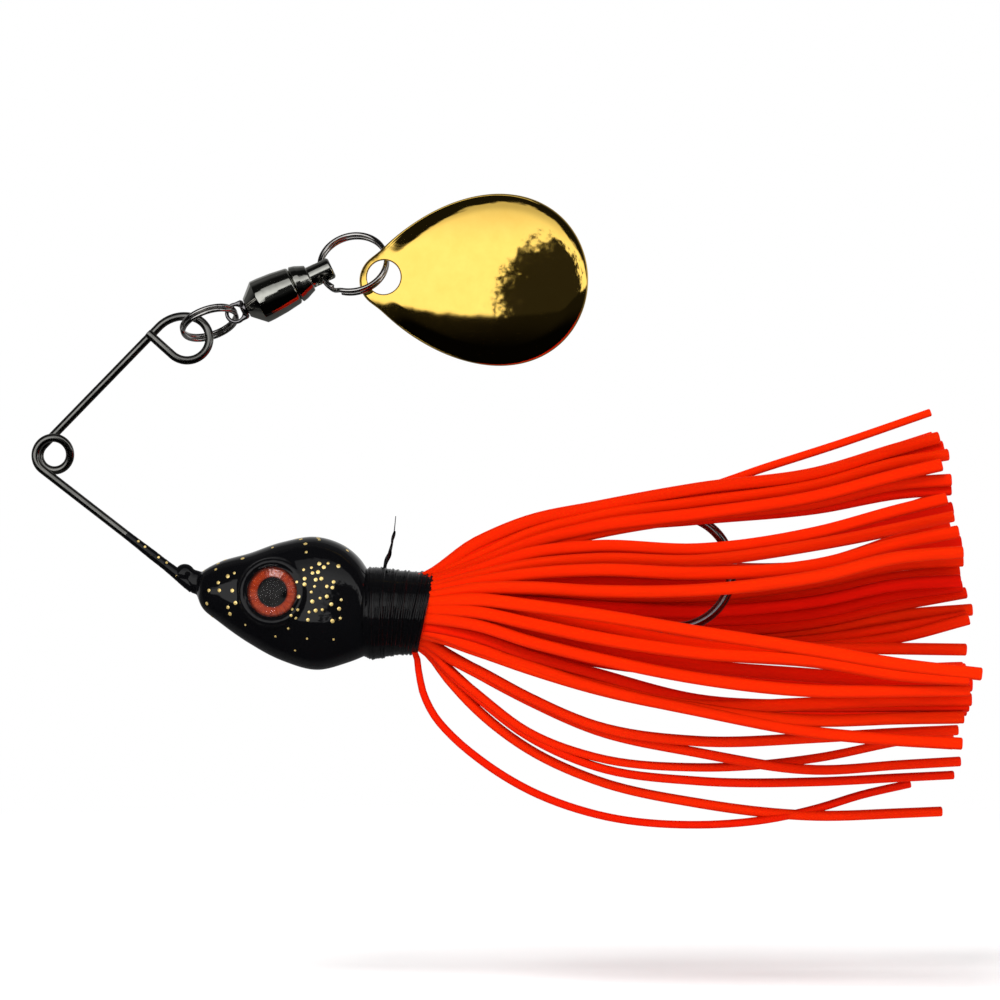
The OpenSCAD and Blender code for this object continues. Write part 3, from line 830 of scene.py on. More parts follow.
def build_post():
    """Forged post: a round eye that runs into a collar and the shaft through the bearing."""
    across, _ = basis(SWIVEL_AXIS, Y)
    flat = np.cross(SWIVEL_AXIS, across)
    eye_at = SWIVEL_START + TAB_HOLE_T * SWIVEL_AXIS
    part = Shape()
    rings = []
    for a in np.arange(0, TAU - 1e-6, TAU / 96):
        out = math.cos(a) * SWIVEL_AXIS + math.sin(a) * flat
        reach = POST_RIM_R
        if math.cos(a) > 0:
            side_reach = POST_HALF_W / max(abs(math.sin(a)), 1e-6)
            reach = max(reach, min(side_reach, POST_ROOT / math.cos(a), POST_CORNER_R))
        mid, half = (POST_HOLE_R + reach) / 2, (reach - POST_HOLE_R) / 2
        b = np.arange(24) * TAU / 24
        section = (np.outer(mid + half * spow(np.cos(b), 0.8), out)
                   + np.outer(POST_HALF_T * spow(np.sin(b), 0.62), across))
        rings.append(eye_at + section)
    part.rings(rings, closed_path=True)
    collar = [(1e-3, -0.75), (0.55, -0.72), (0.8, -0.62), (1.02, -0.38), (1.07, -0.2),
              (1.05, -0.09), (0.65, -0.07), (0.65, 2.6), (1e-3, 2.6)]
    part.lathe(collar, SWIVEL_START, SWIVEL_AXIS, 64)
    head = [(0.62, 2.55), (0.62, 2.8), (1.65, 2.8), (1.65, 3.45), (1e-3, 3.5)]
    part.lathe([(1e-3, 2.5)] + head, SWIVEL_START, SWIVEL_AXIS, 64)
    mesh = baked(run_together(part, 0.045, 6))
    finish_piece("post_forging", mesh, post_nickel, "swivel_post",
                 ("swivel_post",), sharp=70)


def build_balls():
    balls = frame["nodes"]["bearing_balls"]
    for slot in balls.material_slots:
        slot.material = ball_steel


# ---- blade ----

BLADE_LEN = 27.1
BLADE_W = 20.3
BLADE_T = 0.6
BLADE_CUP_R = 34.0
BLADE_TIP_R = 3.3
BLADE_CROWN_X = 16.5
BLADE_HOLE_X = 3.0
BLADE_HOLE_RISE = 0.35
BLADE_HOLE_R = 2.0


def blade_outline(count):
    """Teardrop outline about the tip: an egg whose narrow end is rounded by a circle."""
    peak = 0.841
    a = np.linspace(0, math.pi, 721)
    x = BLADE_LEN / 2 * (1 - np.cos(a))
    egg = BLADE_W / 2 / peak * np.sin(a) * np.sin(a / 2) ** 0.6
    tip = np.sqrt(np.maximum(0, BLADE_TIP_R**2 - (x - BLADE_TIP_R) ** 2))
    half = np.maximum(egg, np.where(x < 2 * BLADE_TIP_R, tip, 0))
    upper = np.stack([x, half], 1)
    loop = np.vstack([upper, upper[-2:0:-1] * [1, -1]])
    lengths = np.concatenate([[0], np.cumsum(np.linalg.norm(np.diff(loop, axis=0), axis=1))])
    wanted = np.linspace(0, lengths[-1], count, endpoint=False)
    points = np.stack([np.interp(wanted, lengths, loop[:, i]) for i in (0, 1)], 1)
    for _ in range(6):
        points = (np.roll(points, 1, 0) + 2 * points + np.roll(points, -1, 0)) / 4
    return points


def build_blade():
    """Cupped sheet: front and back faces meet in a rounded rim, and the hole's edge is broken."""
    count = 180
    tip = np.array([BLADE_LOW[0], 0, (BLADE_LOW[2] + BLADE_HIGH[2]) / 2])
    outline = blade_outline(count)
    hub = np.array([BLADE_HOLE_X, BLADE_HOLE_RISE])
    cup = np.array([BLADE_CROWN_X, BLADE_LOW[1] + BLADE_CUP_R, 0])

    def on_sheet(p, depth, roll=0.0):
        flat = np.array([p[0], p[1]])
        reach = BLADE_CUP_R - depth
        dy = math.sqrt(reach**2 - (flat[0] - cup[0]) ** 2 - flat[1] ** 2)
        return tip + np.array([flat[0], cup[1] - dy + roll, flat[1]])

    def rim_roll(p):
        """The last two millimetres of the sheet bend back a little."""
        gap = np.min(np.linalg.norm(outline - p, axis=1))
        return 0.42 * max(0.0, 1 - gap / 2.1) ** 2 * smoothstep((p[0] - 3.0) / 4)

    edge = 0.28
    rows = []
    towards = outline - hub
    start = hub + BLADE_HOLE_R * towards / np.linalg.norm(towards, axis=1)[:, None]
    inward = (hub - outline) / np.linalg.norm(hub - outline, axis=1)[:, None]
    outer = outline + inward * edge
    inner = start - inward * 0.14
    bands = 44
    front = [(inner + (outer - inner) * smoothstep(k / bands), 0.0) for k in range(bands + 1)]
    rim = []
    for k in range(1, 6):
        b = math.pi * k / 6
        rim.append((outer - inward * edge * math.sin(b), BLADE_T / 2 * (1 - math.cos(b))))
    back = [(p, BLADE_T) for p, _ in reversed(front)]
    bore = []
    for k in range(1, 4):
        b = math.pi * k / 4
        bore.append((inner + inward * 0.14 * math.sin(b), BLADE_T / 2 * (1 + math.cos(b))))
    for points, depth in front + rim + back + bore:
        rows.append([on_sheet(p, depth, rim_roll(p)) for p in points])
    sheet = Shape()
    sheet.rings(rows, closed_path=True)
    sheet.make("blade_sheet", gold_plate, "blade", "blade_gold", ("blade",), sharp=80)


# ---- head ----

HEAD_HALF_W = 5.6
HEAD_SQUARE = 2.6

# x, top, bottom and share of the half width along the head
HEAD_STATIONS = [
    (16.9, -14.7, -16.4, 0.14), (17.6, -13.7, -18.0, 0.36), (19.5, -12.6, -19.6, 0.58),
    (23.2, -11.5, -22.2, 0.83), (27.0, -10.2, -24.2, 0.95), (31.2, -9.6, -25.3, 1.0),
    (34.6, -10.8, -24.5, 0.97), (36.2, -12.2, -23.9, 0.9), (37.1, -13.5, -23.5, 0.8),
]
# Centre and half sizes of the lumps of paint at the nose and behind the crown
PAINT_LUMPS = [
    ((15.5, 0, -13.9), (1.2, 0.95, 1.15)), ((16.75, 0, -15.0), (1.0, 1.0, 1.35)),
    ((16.7, 0, -14.7), (1.3, 0.95, 1.2)), ((35.9, 0, -13.3), (0.9, 3.0, 0.8)),
]
FOIL_R = 2.95
EYE_SEAT = 0.155
RIM_R = 3.55


def head_mesh():
    """Head, raised eye rims and the lumps at the nose, run together as poured paint does."""
    rows = curve_through(HEAD_STATIONS, 0.25)
    a = np.arange(72) * TAU / 72
    rings = []
    for x, top, bottom, share in rows:
        y = share * HEAD_HALF_W * spow(np.cos(a), 2 / HEAD_SQUARE)
        z = (top + bottom) / 2 + (top - bottom) / 2 * spow(np.sin(a), 2 / HEAD_SQUARE)
        rings.append(np.stack([np.full(72, x), y, z], 1))
    form = Shape()
    form.rings(rings)
    start, end = COLLAR_X
    collar = [(1e-3, start), (COLLAR_R, start), (COLLAR_R, end), (1e-3, end)]
    form.lathe(collar, COLLAR_Z * Z, X, 64)
    for side, outward in EYES:
        centre, normal = disc_seat(f"eye_foil_{side}", outward)
        seat = centre + EYE_SEAT * normal
        rim = [(1e-3, -1.5), (RIM_R + 0.35, -1.5)]
        rim += [(RIM_R + 0.5 * math.cos(b), 0.5 * math.sin(b)) for b in np.linspace(0, math.pi, 9)]
        form.lathe(rim + [(2.9, -0.2), (1e-3, -0.2)], seat, normal, 96)
    for place, size in PAINT_LUMPS:
        lump = [(math.sin(b), -math.cos(b)) for b in np.linspace(0.01, math.pi - 0.01, 24)]
        part = Shape()
        part.lathe(lump, np.zeros(3), Z, 40, X)
        form.add(np.array(part.points) * size + place, part.faces)
    return run_together(form, 0.13, 12)


def build_head():
    pockets = []
    for side, outward in EYES:
        centre, normal = disc_seat(f"eye_foil_{side}", outward)
        pocket = Shape()
        wall = FOIL_R + 0.03
        pocket.lathe([(1e-3, -0.14), (wall, -0.14), (wall, 4.0), (1e-3, 4.0)], centre, normal, 96)
        pockets.append(pocket)
    mesh = drilled(head_mesh(), pockets)
    return finish_piece("head_casting_paint", mesh, head_paint, LURE,
                        ("head_casting",), sharp=50)


FLAKE_COUNT = 124
FLAKE_GAP = 0.62
EYE_CLEAR_R = 3.2


def add_flake(shape, place, normal, radius, turn):
    """A thin disc of glitter lying on a surface."""
    first, second = basis(normal, unit(np.cross(normal, X + 0.3 * Z)))
    sides = 10
    ring = circle(first, second, np.arange(sides) * TAU / sides + turn)
    rows = [place + radius * ring - 0.03 * normal, place + radius * ring + 0.008 * normal,
            place + radius * 0.85 * ring + 0.022 * normal]
    shape.rings(rows)


def glitter_density(p):
    """How likely a flake is to stay at a point of the head: dense behind the eye."""
    x, _, z = p
    behind = 1.3 * math.exp(-(((x - 31.2) / 2.2) ** 2) - ((z + 15.8) / 2.9) ** 2)
    nose = 0.3 * math.exp(-(((x - 20.3) / 1.9) ** 2) - ((z + 15.4) / 1.8) ** 2)
    low = 0.10 * math.exp(-(((x - 28.5) / 4.5) ** 2) - ((z + 21.5) / 2.0) ** 2)
    top = 0.08 * math.exp(-(((x - 28) / 5) ** 2) - ((z + 10.8) / 1.3) ** 2)
    return behind + nose + low + top + 0.012


def build_glitter(head):
    rng = random.Random(31)
    eyes = [disc_seat(f"eye_foil_{side}", outward)[0] for side, outward in EYES]
    flakes = Shape()
    mesh = head.data
    faces = [p for p in mesh.polygons if p.center.x / MM < 36.0]
    kept = []
    tries = 0
    while len(kept) < FLAKE_COUNT and tries < 30000:
        tries += 1
        face = faces[rng.randrange(len(faces))]
        place = np.array(face.center) / MM
        if rng.random() > glitter_density(place) or place[0] < 17.5:
            continue
        if min(np.linalg.norm(place - eye) for eye in eyes) < EYE_CLEAR_R:
            continue
        if any(np.linalg.norm(place - other) < FLAKE_GAP for other in kept):
            continue
        kept.append(place)
        size = 0.13 if place[2] < -19.5 else rng.choice((0.17, 0.21, 0.23, 0.24))
        add_flake(flakes, place, unit(np.array(face.normal)), size, rng.random())
    for x in (9.9, 10.7, 12.3, 13.2, 14.7, 15.4):
        turn = rng.uniform(-1.0, 1.0)
        out = math.cos(turn) * -Y + math.sin(turn) * xz(90 - LOWER_ARM_ANGLE)
        reach = WIRE_D / 2 * (1.12 + 0.04 * (x - 9.9))
        add_flake(flakes, lower_arm_at(x) + reach * out, out, 0.15, rng.random())
    flakes.make("paint_glitter", gold_glitter, LURE, "head_paint", sharp=30)


# ---- eyes ----

PUPIL_R = 1.72
LENS_H = 1.1
iris_foil = iris_material(0.95, PUPIL_R / FOIL_R)


def build_eye(side, outward):
    """Printed foil with pressed rays and a clear dome over it."""
    centre, normal = disc_seat(f"eye_foil_{side}", outward)
    first, second = basis(normal, X)
    around, bands = 144, 16
    foil = Shape()
    points, uvs, faces = [], [], []
    for j in range(bands + 1):
        r = max(FOIL_R * 0.985 * j / bands, 1e-3)
        pressed = 0.007 * smoothstep((r - PUPIL_R) * 4)
        for k in range(around):
            a = TAU * k / around
            lift = 0.1 + pressed * math.cos(36 * a) - 0.03 * smoothstep((r - 2.7) * 5)
            points.append(centre + r * (math.cos(a) * first + math.sin(a) * second) + lift * normal)
            uvs.append((r / FOIL_R * math.cos(a), r / FOIL_R * math.sin(a)))
    for j in range(bands):
        for k in range(around):
            l = (k + 1) % around
            faces.append((j * around + k, j * around + l, (j + 1) * around + l,
                          (j + 1) * around + k))
    base = len(points)
    for k in range(around):
        points.append(points[bands * around + k] - 0.2 * normal)
        uvs.append(uvs[bands * around + k])
    for k in range(around):
        l = (k + 1) % around
        faces.append((bands * around + k, bands * around + l, base + l, base + k))
    faces.append(tuple(base + k for k in range(around)))
    foil.add(points, faces, uvs)
    foil.make(f"iris_{side}", iris_foil, LURE, "eye_foil", (f"eye_foil_{side}",), sharp=50)

    cap_r = (FOIL_R**2 + LENS_H**2) / 2 / LENS_H
    open_angle = math.asin(FOIL_R / cap_r)
    profile = [(1e-3, 0.0), (FOIL_R - 0.06, 0.0), (FOIL_R - 0.01, 0.05), (FOIL_R, 0.22)]
    for b in np.linspace(open_angle * 0.97, 0.004, 26):
        profile.append((cap_r * math.sin(b), 0.3 + LENS_H - cap_r + cap_r * math.cos(b)))
    dome = Shape()
    dome.lathe(profile, centre + EYE_SEAT * normal, normal, 128, X)
    dome.make(f"lens_{side}", clear_resin, LURE, "eye_lens", (f"eye_lens_{side}",), sharp=60)


# ---- hook ----

HOOK_D = 1.2
BEND_R = 6.6
SHANK_RISE = 2.0
SHANK_END = np.array([73.66, 0, -20.25])
SPEAR_LEN = 7.0
POINT_LEN = 3.2


def build_hook():
    """Round wire from the eye in the head to a ground point with a raised barb."""
    eye = SHANK_END - 43.5 * xz(SHANK_RISE)
    hook = Shape()
    ring = [eye + 1.35 * xz(SHANK_RISE - a) for a in np.linspace(12, 348, 60)]
    hook.tube(ring, HOOK_D, sides=16, up=Y, round_ends=0.3)
    bend_centre = SHANK_END + BEND_R * xz(90 + SHANK_RISE)
    spear_start = bend_centre + BEND_R * xz(90 + SHANK_RISE)
    spear_dir = xz(180 + SHANK_RISE)
    path = list(curve_through([eye + 1.35 * xz(SHANK_RISE), SHANK_END], 1.0)[:-1])
    bend = [bend_centre + BEND_R * xz(270 + SHANK_RISE + a) for a in np.arange(0, 180.1, 3)]
    path += bend
    tip = spear_start + SPEAR_LEN * spear_dir
    path += list(curve_through([spear_start, tip], 0.15)[1:])
    lengths = np.concatenate(
        [[0], np.cumsum(np.linalg.norm(np.diff(np.array(path), axis=0), axis=1))])
    total = lengths[-1]

    def ground(s):
        left = (1 - s) * total
        return 0.05 + 0.95 * (min(1.0, left / POINT_LEN)) ** 0.8

    hook.tube(path, HOOK_D, sides=24, up=Y, scale=ground)
    barb_root = spear_start + (SPEAR_LEN - POINT_LEN + 0.9) * spear_dir - 0.28 * xz(90 + SHANK_RISE)
    back = xz(SHANK_RISE - 24)
    barb = [barb_root + t * back for t in np.linspace(-0.2, 1.35, 9)]
    hook.tube(barb, 0.62, 0.34, sides=12, up=Y, scale=lambda s: 1.0 - 0.88 * s**1.4)
    hook.make("hook_wire", hook_nickel, LURE, "hook_wire", ("hook",), sharp=50)


# ---- thread ----

WRAP_START = 36.6
WRAP_END = 43.9
WRAP_SLANT = 13.0
THREAD_PITCH = 0.235
THREAD_D = 0.27

# x and radius along the wrap
WRAP_PROFILE = [(36.6, 4.95), (37.2, 5.25), (37.8, 5.33), (38.7, 5.25), (40.4, 4.92),
                (42.0, 4.78), (44.6, 4.74)]
# Start, end, number of turns and phase of the last windings, which lie over the others
OVER_WINDINGS = ((37.0, 41.5, 3.6, 0.4), (43.7, 38.4, 4.3, 2.0), (42.2, 43.8, 3.0, 4.0))


def wrap_radius(x):
    return np.interp(x, [p[0] for p in WRAP_PROFILE], [p[1] for p in WRAP_PROFILE])


def wrap_point(x, a, extra=0.0):
    """Point on the wrap at angle a; its turns lean more towards the skirt."""
    lean = math.tan(math.radians(WRAP_SLANT)) * smoothstep((x - WRAP_START) / (WRAP_END - WRAP_START))
    r = wrap_radius(x) + extra
    z = r * math.sin(a)
    return np.array([x + lean * z * 0.93, r * math.cos(a), COLLAR_Z + z])


def build_wrap():
    rng = random.Random(12)
    wrap = Shape()
    a = np.arange(64) * TAU / 64
    rings = [[wrap_point(x, b, 0.085) for b in a] for x in np.linspace(WRAP_START, WRAP_END + 0.1, 30)]
    inner = [[wrap_point(WRAP_END + 0.1, b, -0.55) for b in a],
             [wrap_point(WRAP_END - 1.0, b, -0.75) for b in a]]
    wrap.rings(rings + inner)
    per_turn = 40
    count = int((WRAP_END - WRAP_START) / THREAD_PITCH * per_turn)
    wander = np.cumsum([rng.gauss(0, 0.002) for _ in range(count)])
    wander -= np.linspace(0, wander[-1], count)
    path = []
    for i in range(count):
        turn = i / per_turn
        x = WRAP_START + 0.08 + THREAD_PITCH * turn + 0.035 * math.sin(turn * 5.1) + wander[i] * 0.4
        bulge = 0.03 * math.sin(turn * 2.3 + 1) + 0.02 * math.sin(turn * 7.7)
        path.append(wrap_point(min(x, WRAP_END), TAU * turn, bulge))
    wrap.tube(np.array(path), THREAD_D, sides=8, up=X)
    for start, end, turns, phase in OVER_WINDINGS:
        over = []
        for t in np.linspace(0, 1, int(turns * 44)):
            x = lerp(start, end, t) + 0.1 * math.sin(t * 19 + phase)
            over.append(wrap_point(x, TAU * turns * t + phase, 0.1))
        wrap.tube(np.array(over), THREAD_D, sides=8, up=X)
    wrap.make("thread_windings", varnished_thread, LURE, "thread", ("thread_wrap",), sharp=80)

    tag = Shape()
    spine = curve_through([(38.9, 0, -13.9), (39.2, 0, -12.9), (39.75, 0.0, -11.2),
                           (40.15, 0.02, -9.4), (40.4, 0, -7.15)], 0.12)
    tag.tube(spine, 0.74, 0.3, sides=14, power=2.4, up=X, twist=70,
             scale=lambda s: 0.35 + 0.68 * math.exp(-(((s - 0.3) / 0.24) ** 2)) - 0.22 * s)
    for shift, phase in ((-0.28, 0.0), (0.26, 2.1)):
        fibre = [p + np.array([shift * (1 - k / len(spine)) ** 2 + 0.1 * math.sin(k * 0.3 + phase),
                               0.14 * math.cos(k * 0.3 + phase), 0])
                 for k, p in enumerate(spine[: int(len(spine) * 0.75)])]
        tag.tube(np.array(fibre), 0.17, sides=8, up=X)
    tag.make("thread_tag", varnished_thread, LURE, "thread", sharp=80)


# ---- skirt ----

ROOT_R = 3.85
STATIONS = (50, 56, 64, 76, 90, 100)

# Distance, x and height of the point from which the strands' heights are given
VIEW_DISTANCE = 492.0
VIEW_X, VIEW_Z = 52.7, -5.25

# Half width of the whole skirt, seen from above, at each x
FLARE_X = (43.0, 47.6, 52.5, 60.0, 72.0, 86.0, 100.0, 110.0)
FLARE_W = (4.0, 5.3, 8.0, 10.4, 12.8, 14.4, 15.2, 15.6)

# Each strand: tone (painted shade, low on strands that lie in the shadow of others and high on lit
# ones), how far it stands out, root height, heights at the stations, end x and z
TOP_STRANDS = [
    (0.9, 0.45, -14.7, -10.3, -7.8, -6.1, -3.9, -2.1, 0.9, 104.4, 2.1),
    (0.4, 0.20, -14.8, -11.1, -8.6, -6.7, -4.6, -2.7, 0.1, 104.9, 1.0),
    (0.9, 0.55, -14.9, -12.0, -9.3, -7.2, -5.5, -3.5, -0.8, 105.5, 0.1),
    (0.8, 0.68, -15.1, -12.8, -10.4, -8.4, -6.9, -4.8, -2.2, 104.7, -1.1),
    (0.3, 0.30, -15.2, -13.2, -10.9, -8.7, -7.5, -6.2, -4.4, 105.8, -4.0),
    (0.7, 0.40, -15.2, -13.1, -11.1, -9.1, -7.1, -5.5, -3.3, 105.8, -2.9),
]
NEAR_STRANDS = [
    (0.9, 0.80, -15.4, -13.5, -11.6, -10.7, -11.05, -9.1, -6.4, 105.3, -5.1),
    (0.9, 0.86, -15.8, -14.2, -12.9, -12.2, -12.4, -10.5, -8.5, 106.1, -7.2),
    (0.9, 0.92, -16.2, -14.9, -14.0, -13.5, -13.9, -12.9, -10.3, 106.7, -9.0),
    (1.0, 0.98, -16.8, -15.7, -15.6, -16.0, -15.9, -14.3, -12.0, 107.2, -11.4),
    (1.0, 1.04, -17.4, -17.0, -17.7, -18.8, -20.8, -23.0, -24.7, 109.4, -25.8),
    (0.9, 0.98, -18.1, -18.5, -19.8, -21.5, -23.3, -24.3, -25.9, 107.9, -26.4),
    (0.9, 0.92, -19.0, -20.0, -21.9, -23.9, -26.3, -27.8, -27.8, 108.0, -27.7),
    (0.3, 0.70, -18.5, -19.3, -21.0, -22.9, -24.8, -26.0, -26.8, 108.3, -27.1),
    (0.3, 0.68, -20.0, -21.4, -23.5, -25.8, -28.9, -29.6, -29.6, 107.9, -29.6),
    (0.8, 0.74, -20.3, -22.7, -24.9, -27.2, -29.5, -29.3, -28.9, 108.2, -28.8),
    (0.9, 0.86, -20.7, -23.0, -25.1, -27.5, -29.9, -31.3, -31.0, 107.3, -30.9),
    (0.9, 0.94, -20.9, -22.9, -24.8, -27.4, -30.1, -32.7, -33.6, 107.1, -34.0),
    (0.6, 0.60, -17.8, -17.7, -18.7, -20.1, -22.3, -23.6, -25.3, 107.5, -25.2),
    (0.5, 0.55, -16.0, -14.6, -13.5, -13.0, -13.4, -13.1, -9.9, 105.6, -8.2),
]
FAR_STRANDS = [
    (0.8, 0.80, -16.8, -15.9, -15.9, -16.5, -16.6, -15.0, -12.9, 107.2, -12.4),
    (0.3, 0.60, -15.5, -13.8, -12.1, -11.3, -11.6, -9.9, -7.5, 106.0, -6.2),
    (0.3, 0.70, -16.4, -15.3, -14.8, -14.9, -15.3, -13.9, -11.2, 107.0, -10.2),
    (0.7, 0.90, -17.0, -16.3, -16.5, -16.9, -17.3, -16.0, -14.3, 106.8, -13.7),
    (0.2, 0.60, -17.4, -17.0, -17.3, -17.9, -18.4, -17.2, -15.2, 106.9, -14.8),
    (0.2, 0.75, -17.8, -17.7, -18.2, -18.8, -19.4, -18.6, -16.4, 107.1, -15.4),
    (0.5, 0.85, -18.3, -18.3, -19.1, -20.0, -20.7, -19.7, -17.6, 107.6, -16.2),
    (0.9, 0.90, -18.7, -19.0, -20.0, -21.0, -21.9, -20.7, -18.9, 108.3, -18.2),
    (0.7, 0.84, -18.9, -19.3, -20.4, -21.6, -22.4, -21.7, -20.2, 107.6, -18.9),
    (0.8, 0.80, -19.2, -19.6, -20.9, -22.2, -23.2, -22.6, -21.4, 107.9, -19.3),
    (0.8, 0.65, -18.0, -18.2, -19.4, -21.0, -22.3, -22.7, -22.8, 107.6, -22.9),
    (0.3, 0.70, -19.6, -20.6, -22.3, -24.2, -25.5, -26.5, -27.2, 107.9, -27.4),
    (0.3, 0.60, -20.2, -21.8, -24.1, -26.6, -29.6, -30.4, -30.2, 107.6, -30.0),
]
LOOSE_STRANDS = [
    (0.8, 0.70, -21.6, -25.3, -28.5, -31.9, -33.7, -33.3, -32.7, 106.6, -32.4),
    (0.7, 0.60, -21.6, -25.7, -28.9, -32.4, -35.05, -37.1, -36.5, 106.9, -36.1),
    (0.7, 0.50, -21.9, -28.1, -32.6, -35.6, -36.8, -35.7, -33.7, 106.0, -32.8),
    (0.6, 0.55, -22.0, -28.5, -33.1, -36.7, -38.4, -38.5, -38.0, 106.1, -37.7),
    (0.8, 0.45, -22.2, -30.0, -34.6, -38.3, -41.0, -42.5, -42.2, 104.7, -42.0),
]


def strand_path(strand, side, sag=0.0, nudge=0.0):
    """Curve of one strand on the near side (-1) or the far side (1).

    The heights are as seen square from the side, so a strand that stands nearer is drawn in
    a little, and one that stands further is let out.
    """
    _, out, root_z = strand[:3]
    heights = strand[3:9]
    end_x, end_z = strand[9:]
    rise = np.clip((root_z - COLLAR_Z) / ROOT_R, -1, 1)
    root_y = side * ROOT_R * max(0.3, math.sqrt(1 - rise**2))
    points = [(39.5, root_y * 0.97, lerp(COLLAR_Z, root_z, 0.97)), (42.8, root_y, root_z)]
    if heights[0] < root_z - 3.4:
        drop = heights[0] - root_z
        points += [(44.2, root_y * 1.05, root_z + 0.13 * drop),
                   (46.6, root_y * 1.15, root_z + 0.52 * drop)]
    for x, z in list(zip(STATIONS, heights)) + [(end_x + nudge, end_z)]:
        flare = np.interp(x, FLARE_X, FLARE_W) / FLARE_W[0]
        y = root_y * lerp(1.0, flare, out)
        grow = 1 + y / VIEW_DISTANCE
        z = z + sag * smoothstep((x - 50) / 40)
        points.append((VIEW_X + (x - VIEW_X) * grow, y, VIEW_Z + (z - VIEW_Z) * grow))
    return curve_through(points, 1.3)


def add_strand(shape, path, rng, width=None, thick=None, tone=0.8):
    width = width or rng.uniform(1.32, 1.55)
    thick = thick or rng.uniform(0.78, 0.92)
    up = unit(np.array([0, -1, rng.uniform(-0.25, 0.25)]))
    wave = rng.uniform(0, TAU)

    def size(s):
        return (0.84 + 0.16 * smoothstep(s * 9)) * (1 + 0.03 * math.sin(11 * s + wave))

    # The tone passed in is painted shade; the small random jitter added to it is tone that differs
    # from strand to strand.
    shape.tube(path, width, thick, sides=16, power=3.2, up=up, twist=rng.uniform(-28, 28),
               scale=size, round_ends=0.45, tone=np.clip(tone + rng.uniform(-0.1, 0.1), 0, 1))


def build_skirt():
    rng = random.Random(77)
    top, near, far, bottom, stray = (Shape() for _ in range(5))
    for strand in TOP_STRANDS:
        add_strand(top, strand_path(strand, -1), rng, tone=strand[0])
        add_strand(top, strand_path(strand, 1, nudge=rng.uniform(-1.5, 0)), rng, tone=strand[0])
    for strand in NEAR_STRANDS:
        add_strand(near, strand_path(strand, -1), rng, tone=strand[0])
        add_strand(far, strand_path(strand, 1, rng.uniform(-0.15, 0.15), rng.uniform(-1.5, 0)),
                   rng, tone=strand[0])
    for strand in FAR_STRANDS:
        add_strand(far, strand_path(strand, 1), rng, tone=strand[0])
    for strand, width in zip(LOOSE_STRANDS, (1.2, 1.15, 0.95, 1.0, 1.15)):
        for side in (-1, 1):
            add_strand(bottom, strand_path(strand, side), rng, width, tone=strand[0])
    hanging = [(41.5, -1.2, -22.3), (42.6, -1.3, -23.0), (43.1, -1.6, -25.2), (43.6, -1.9, -27.7),
               (45.0, -2.2, -30.6), (47.1, -2.4, -33.0), (50.2, -2.8, -35.6), (56.2, -3.3, -39.3),
               (64.1, -3.6, -42.1), (76.0, -3.5, -43.3), (84.0, -3.1, -42.7), (90.0, -2.9, -41.4),
               (95.0, -2.5, -39.9), (100.8, -2.1, -38.6)]
    add_strand(bottom, curve_through(hanging, 1.2), rng, width=0.9, thick=0.75, tone=0.5)
    lifted = [(41.0, 1.2, -14.9), (43.8, 1.25, -14.75), (47.0, 1.6, -12.6), (50.0, 2.0, -10.5),
              (56.0, 2.6, -7.8), (64.0, 3.0, -6.0), (76.0, 3.0, -4.1), (84.2, 2.8, -1.4),
              (93.2, 2.5, 1.5), (103.6, 2.0, 5.1)]
    add_strand(stray, curve_through(lifted, 1.2), rng, width=0.95, thick=0.75, tone=0.9)
    for shape, bunch in ((top, "top"), (near, "near"), (far, "far"), (bottom, "bottom")):
        shape.make(f"skirt_strands_{bunch}", silicone, LURE, "skirt_silicone",
                   (f"skirt_{bunch}",), sharp=60)
    stray.make("skirt_strand_stray", silicone, LURE, "skirt_silicone",
               ("skirt_stray_strand",), sharp=60)


# ---- stage, light and camera ----


def build_stage():
    """Pale floor that fades into the white backdrop away from the lure."""
    low, high = cad_box
    centre = (low + high) / 2
    size = 3.0
    z = low.z - 0.020
    floor_mesh = bpy.data.meshes.new("floor")
    floor_mesh.from_pydata([(-size, -size, 0), (size, -size, 0), (size, size, 0), (-size, size, 0)],
                           [], [(0, 1, 2, 3)])
    floor = bpy.data.objects.new("floor", floor_mesh)
    floor.location = (centre.x, centre.y, z)
    bpy.context.scene.collection.objects.link(floor)
    n = Nodes("floor_paper")
    place = n.coordinates()
    grain = n.noise(place, 0.02, 3.0)
    n.to(n.ramp(grain, [(0.3, 0.86), (0.7, 0.9)]), "Base Color")
    n.set(roughness=0.9, specular_ior_level=0.0)
    far_out = n.times(n.length(place), 1 / 500)
    far = n.ramp(far_out, [(0.12, 0.0), (0.6, 1.0)])
    faded = n.mix_shaders(far, n.bsdf.outputs[0], n.node("Emission").outputs[0])
    back = n.node("NewGeometry").outputs["Backfacing"]
    clear = n.node("BsdfTransparent").outputs[0]
    n.link(n.mix_shaders(back, faded, clear), n.out.inputs["Surface"])
    floor_mesh.materials.append(n.material)
    floor.visible_glossy = False


def between(g, value, low, high):
    """0 below low, 1 above high, smooth between; the two may be the other way round."""
    made = g.node("MapRange", interpolation_type="SMOOTHSTEP")
    put(made.inputs["Value"], value)
    put(made.inputs["From Min"], min(low, high))
    put(made.inputs["From Max"], max(low, high))
    up = made.outputs["Result"]
    return up if low < high else g.minus(1.0, up)


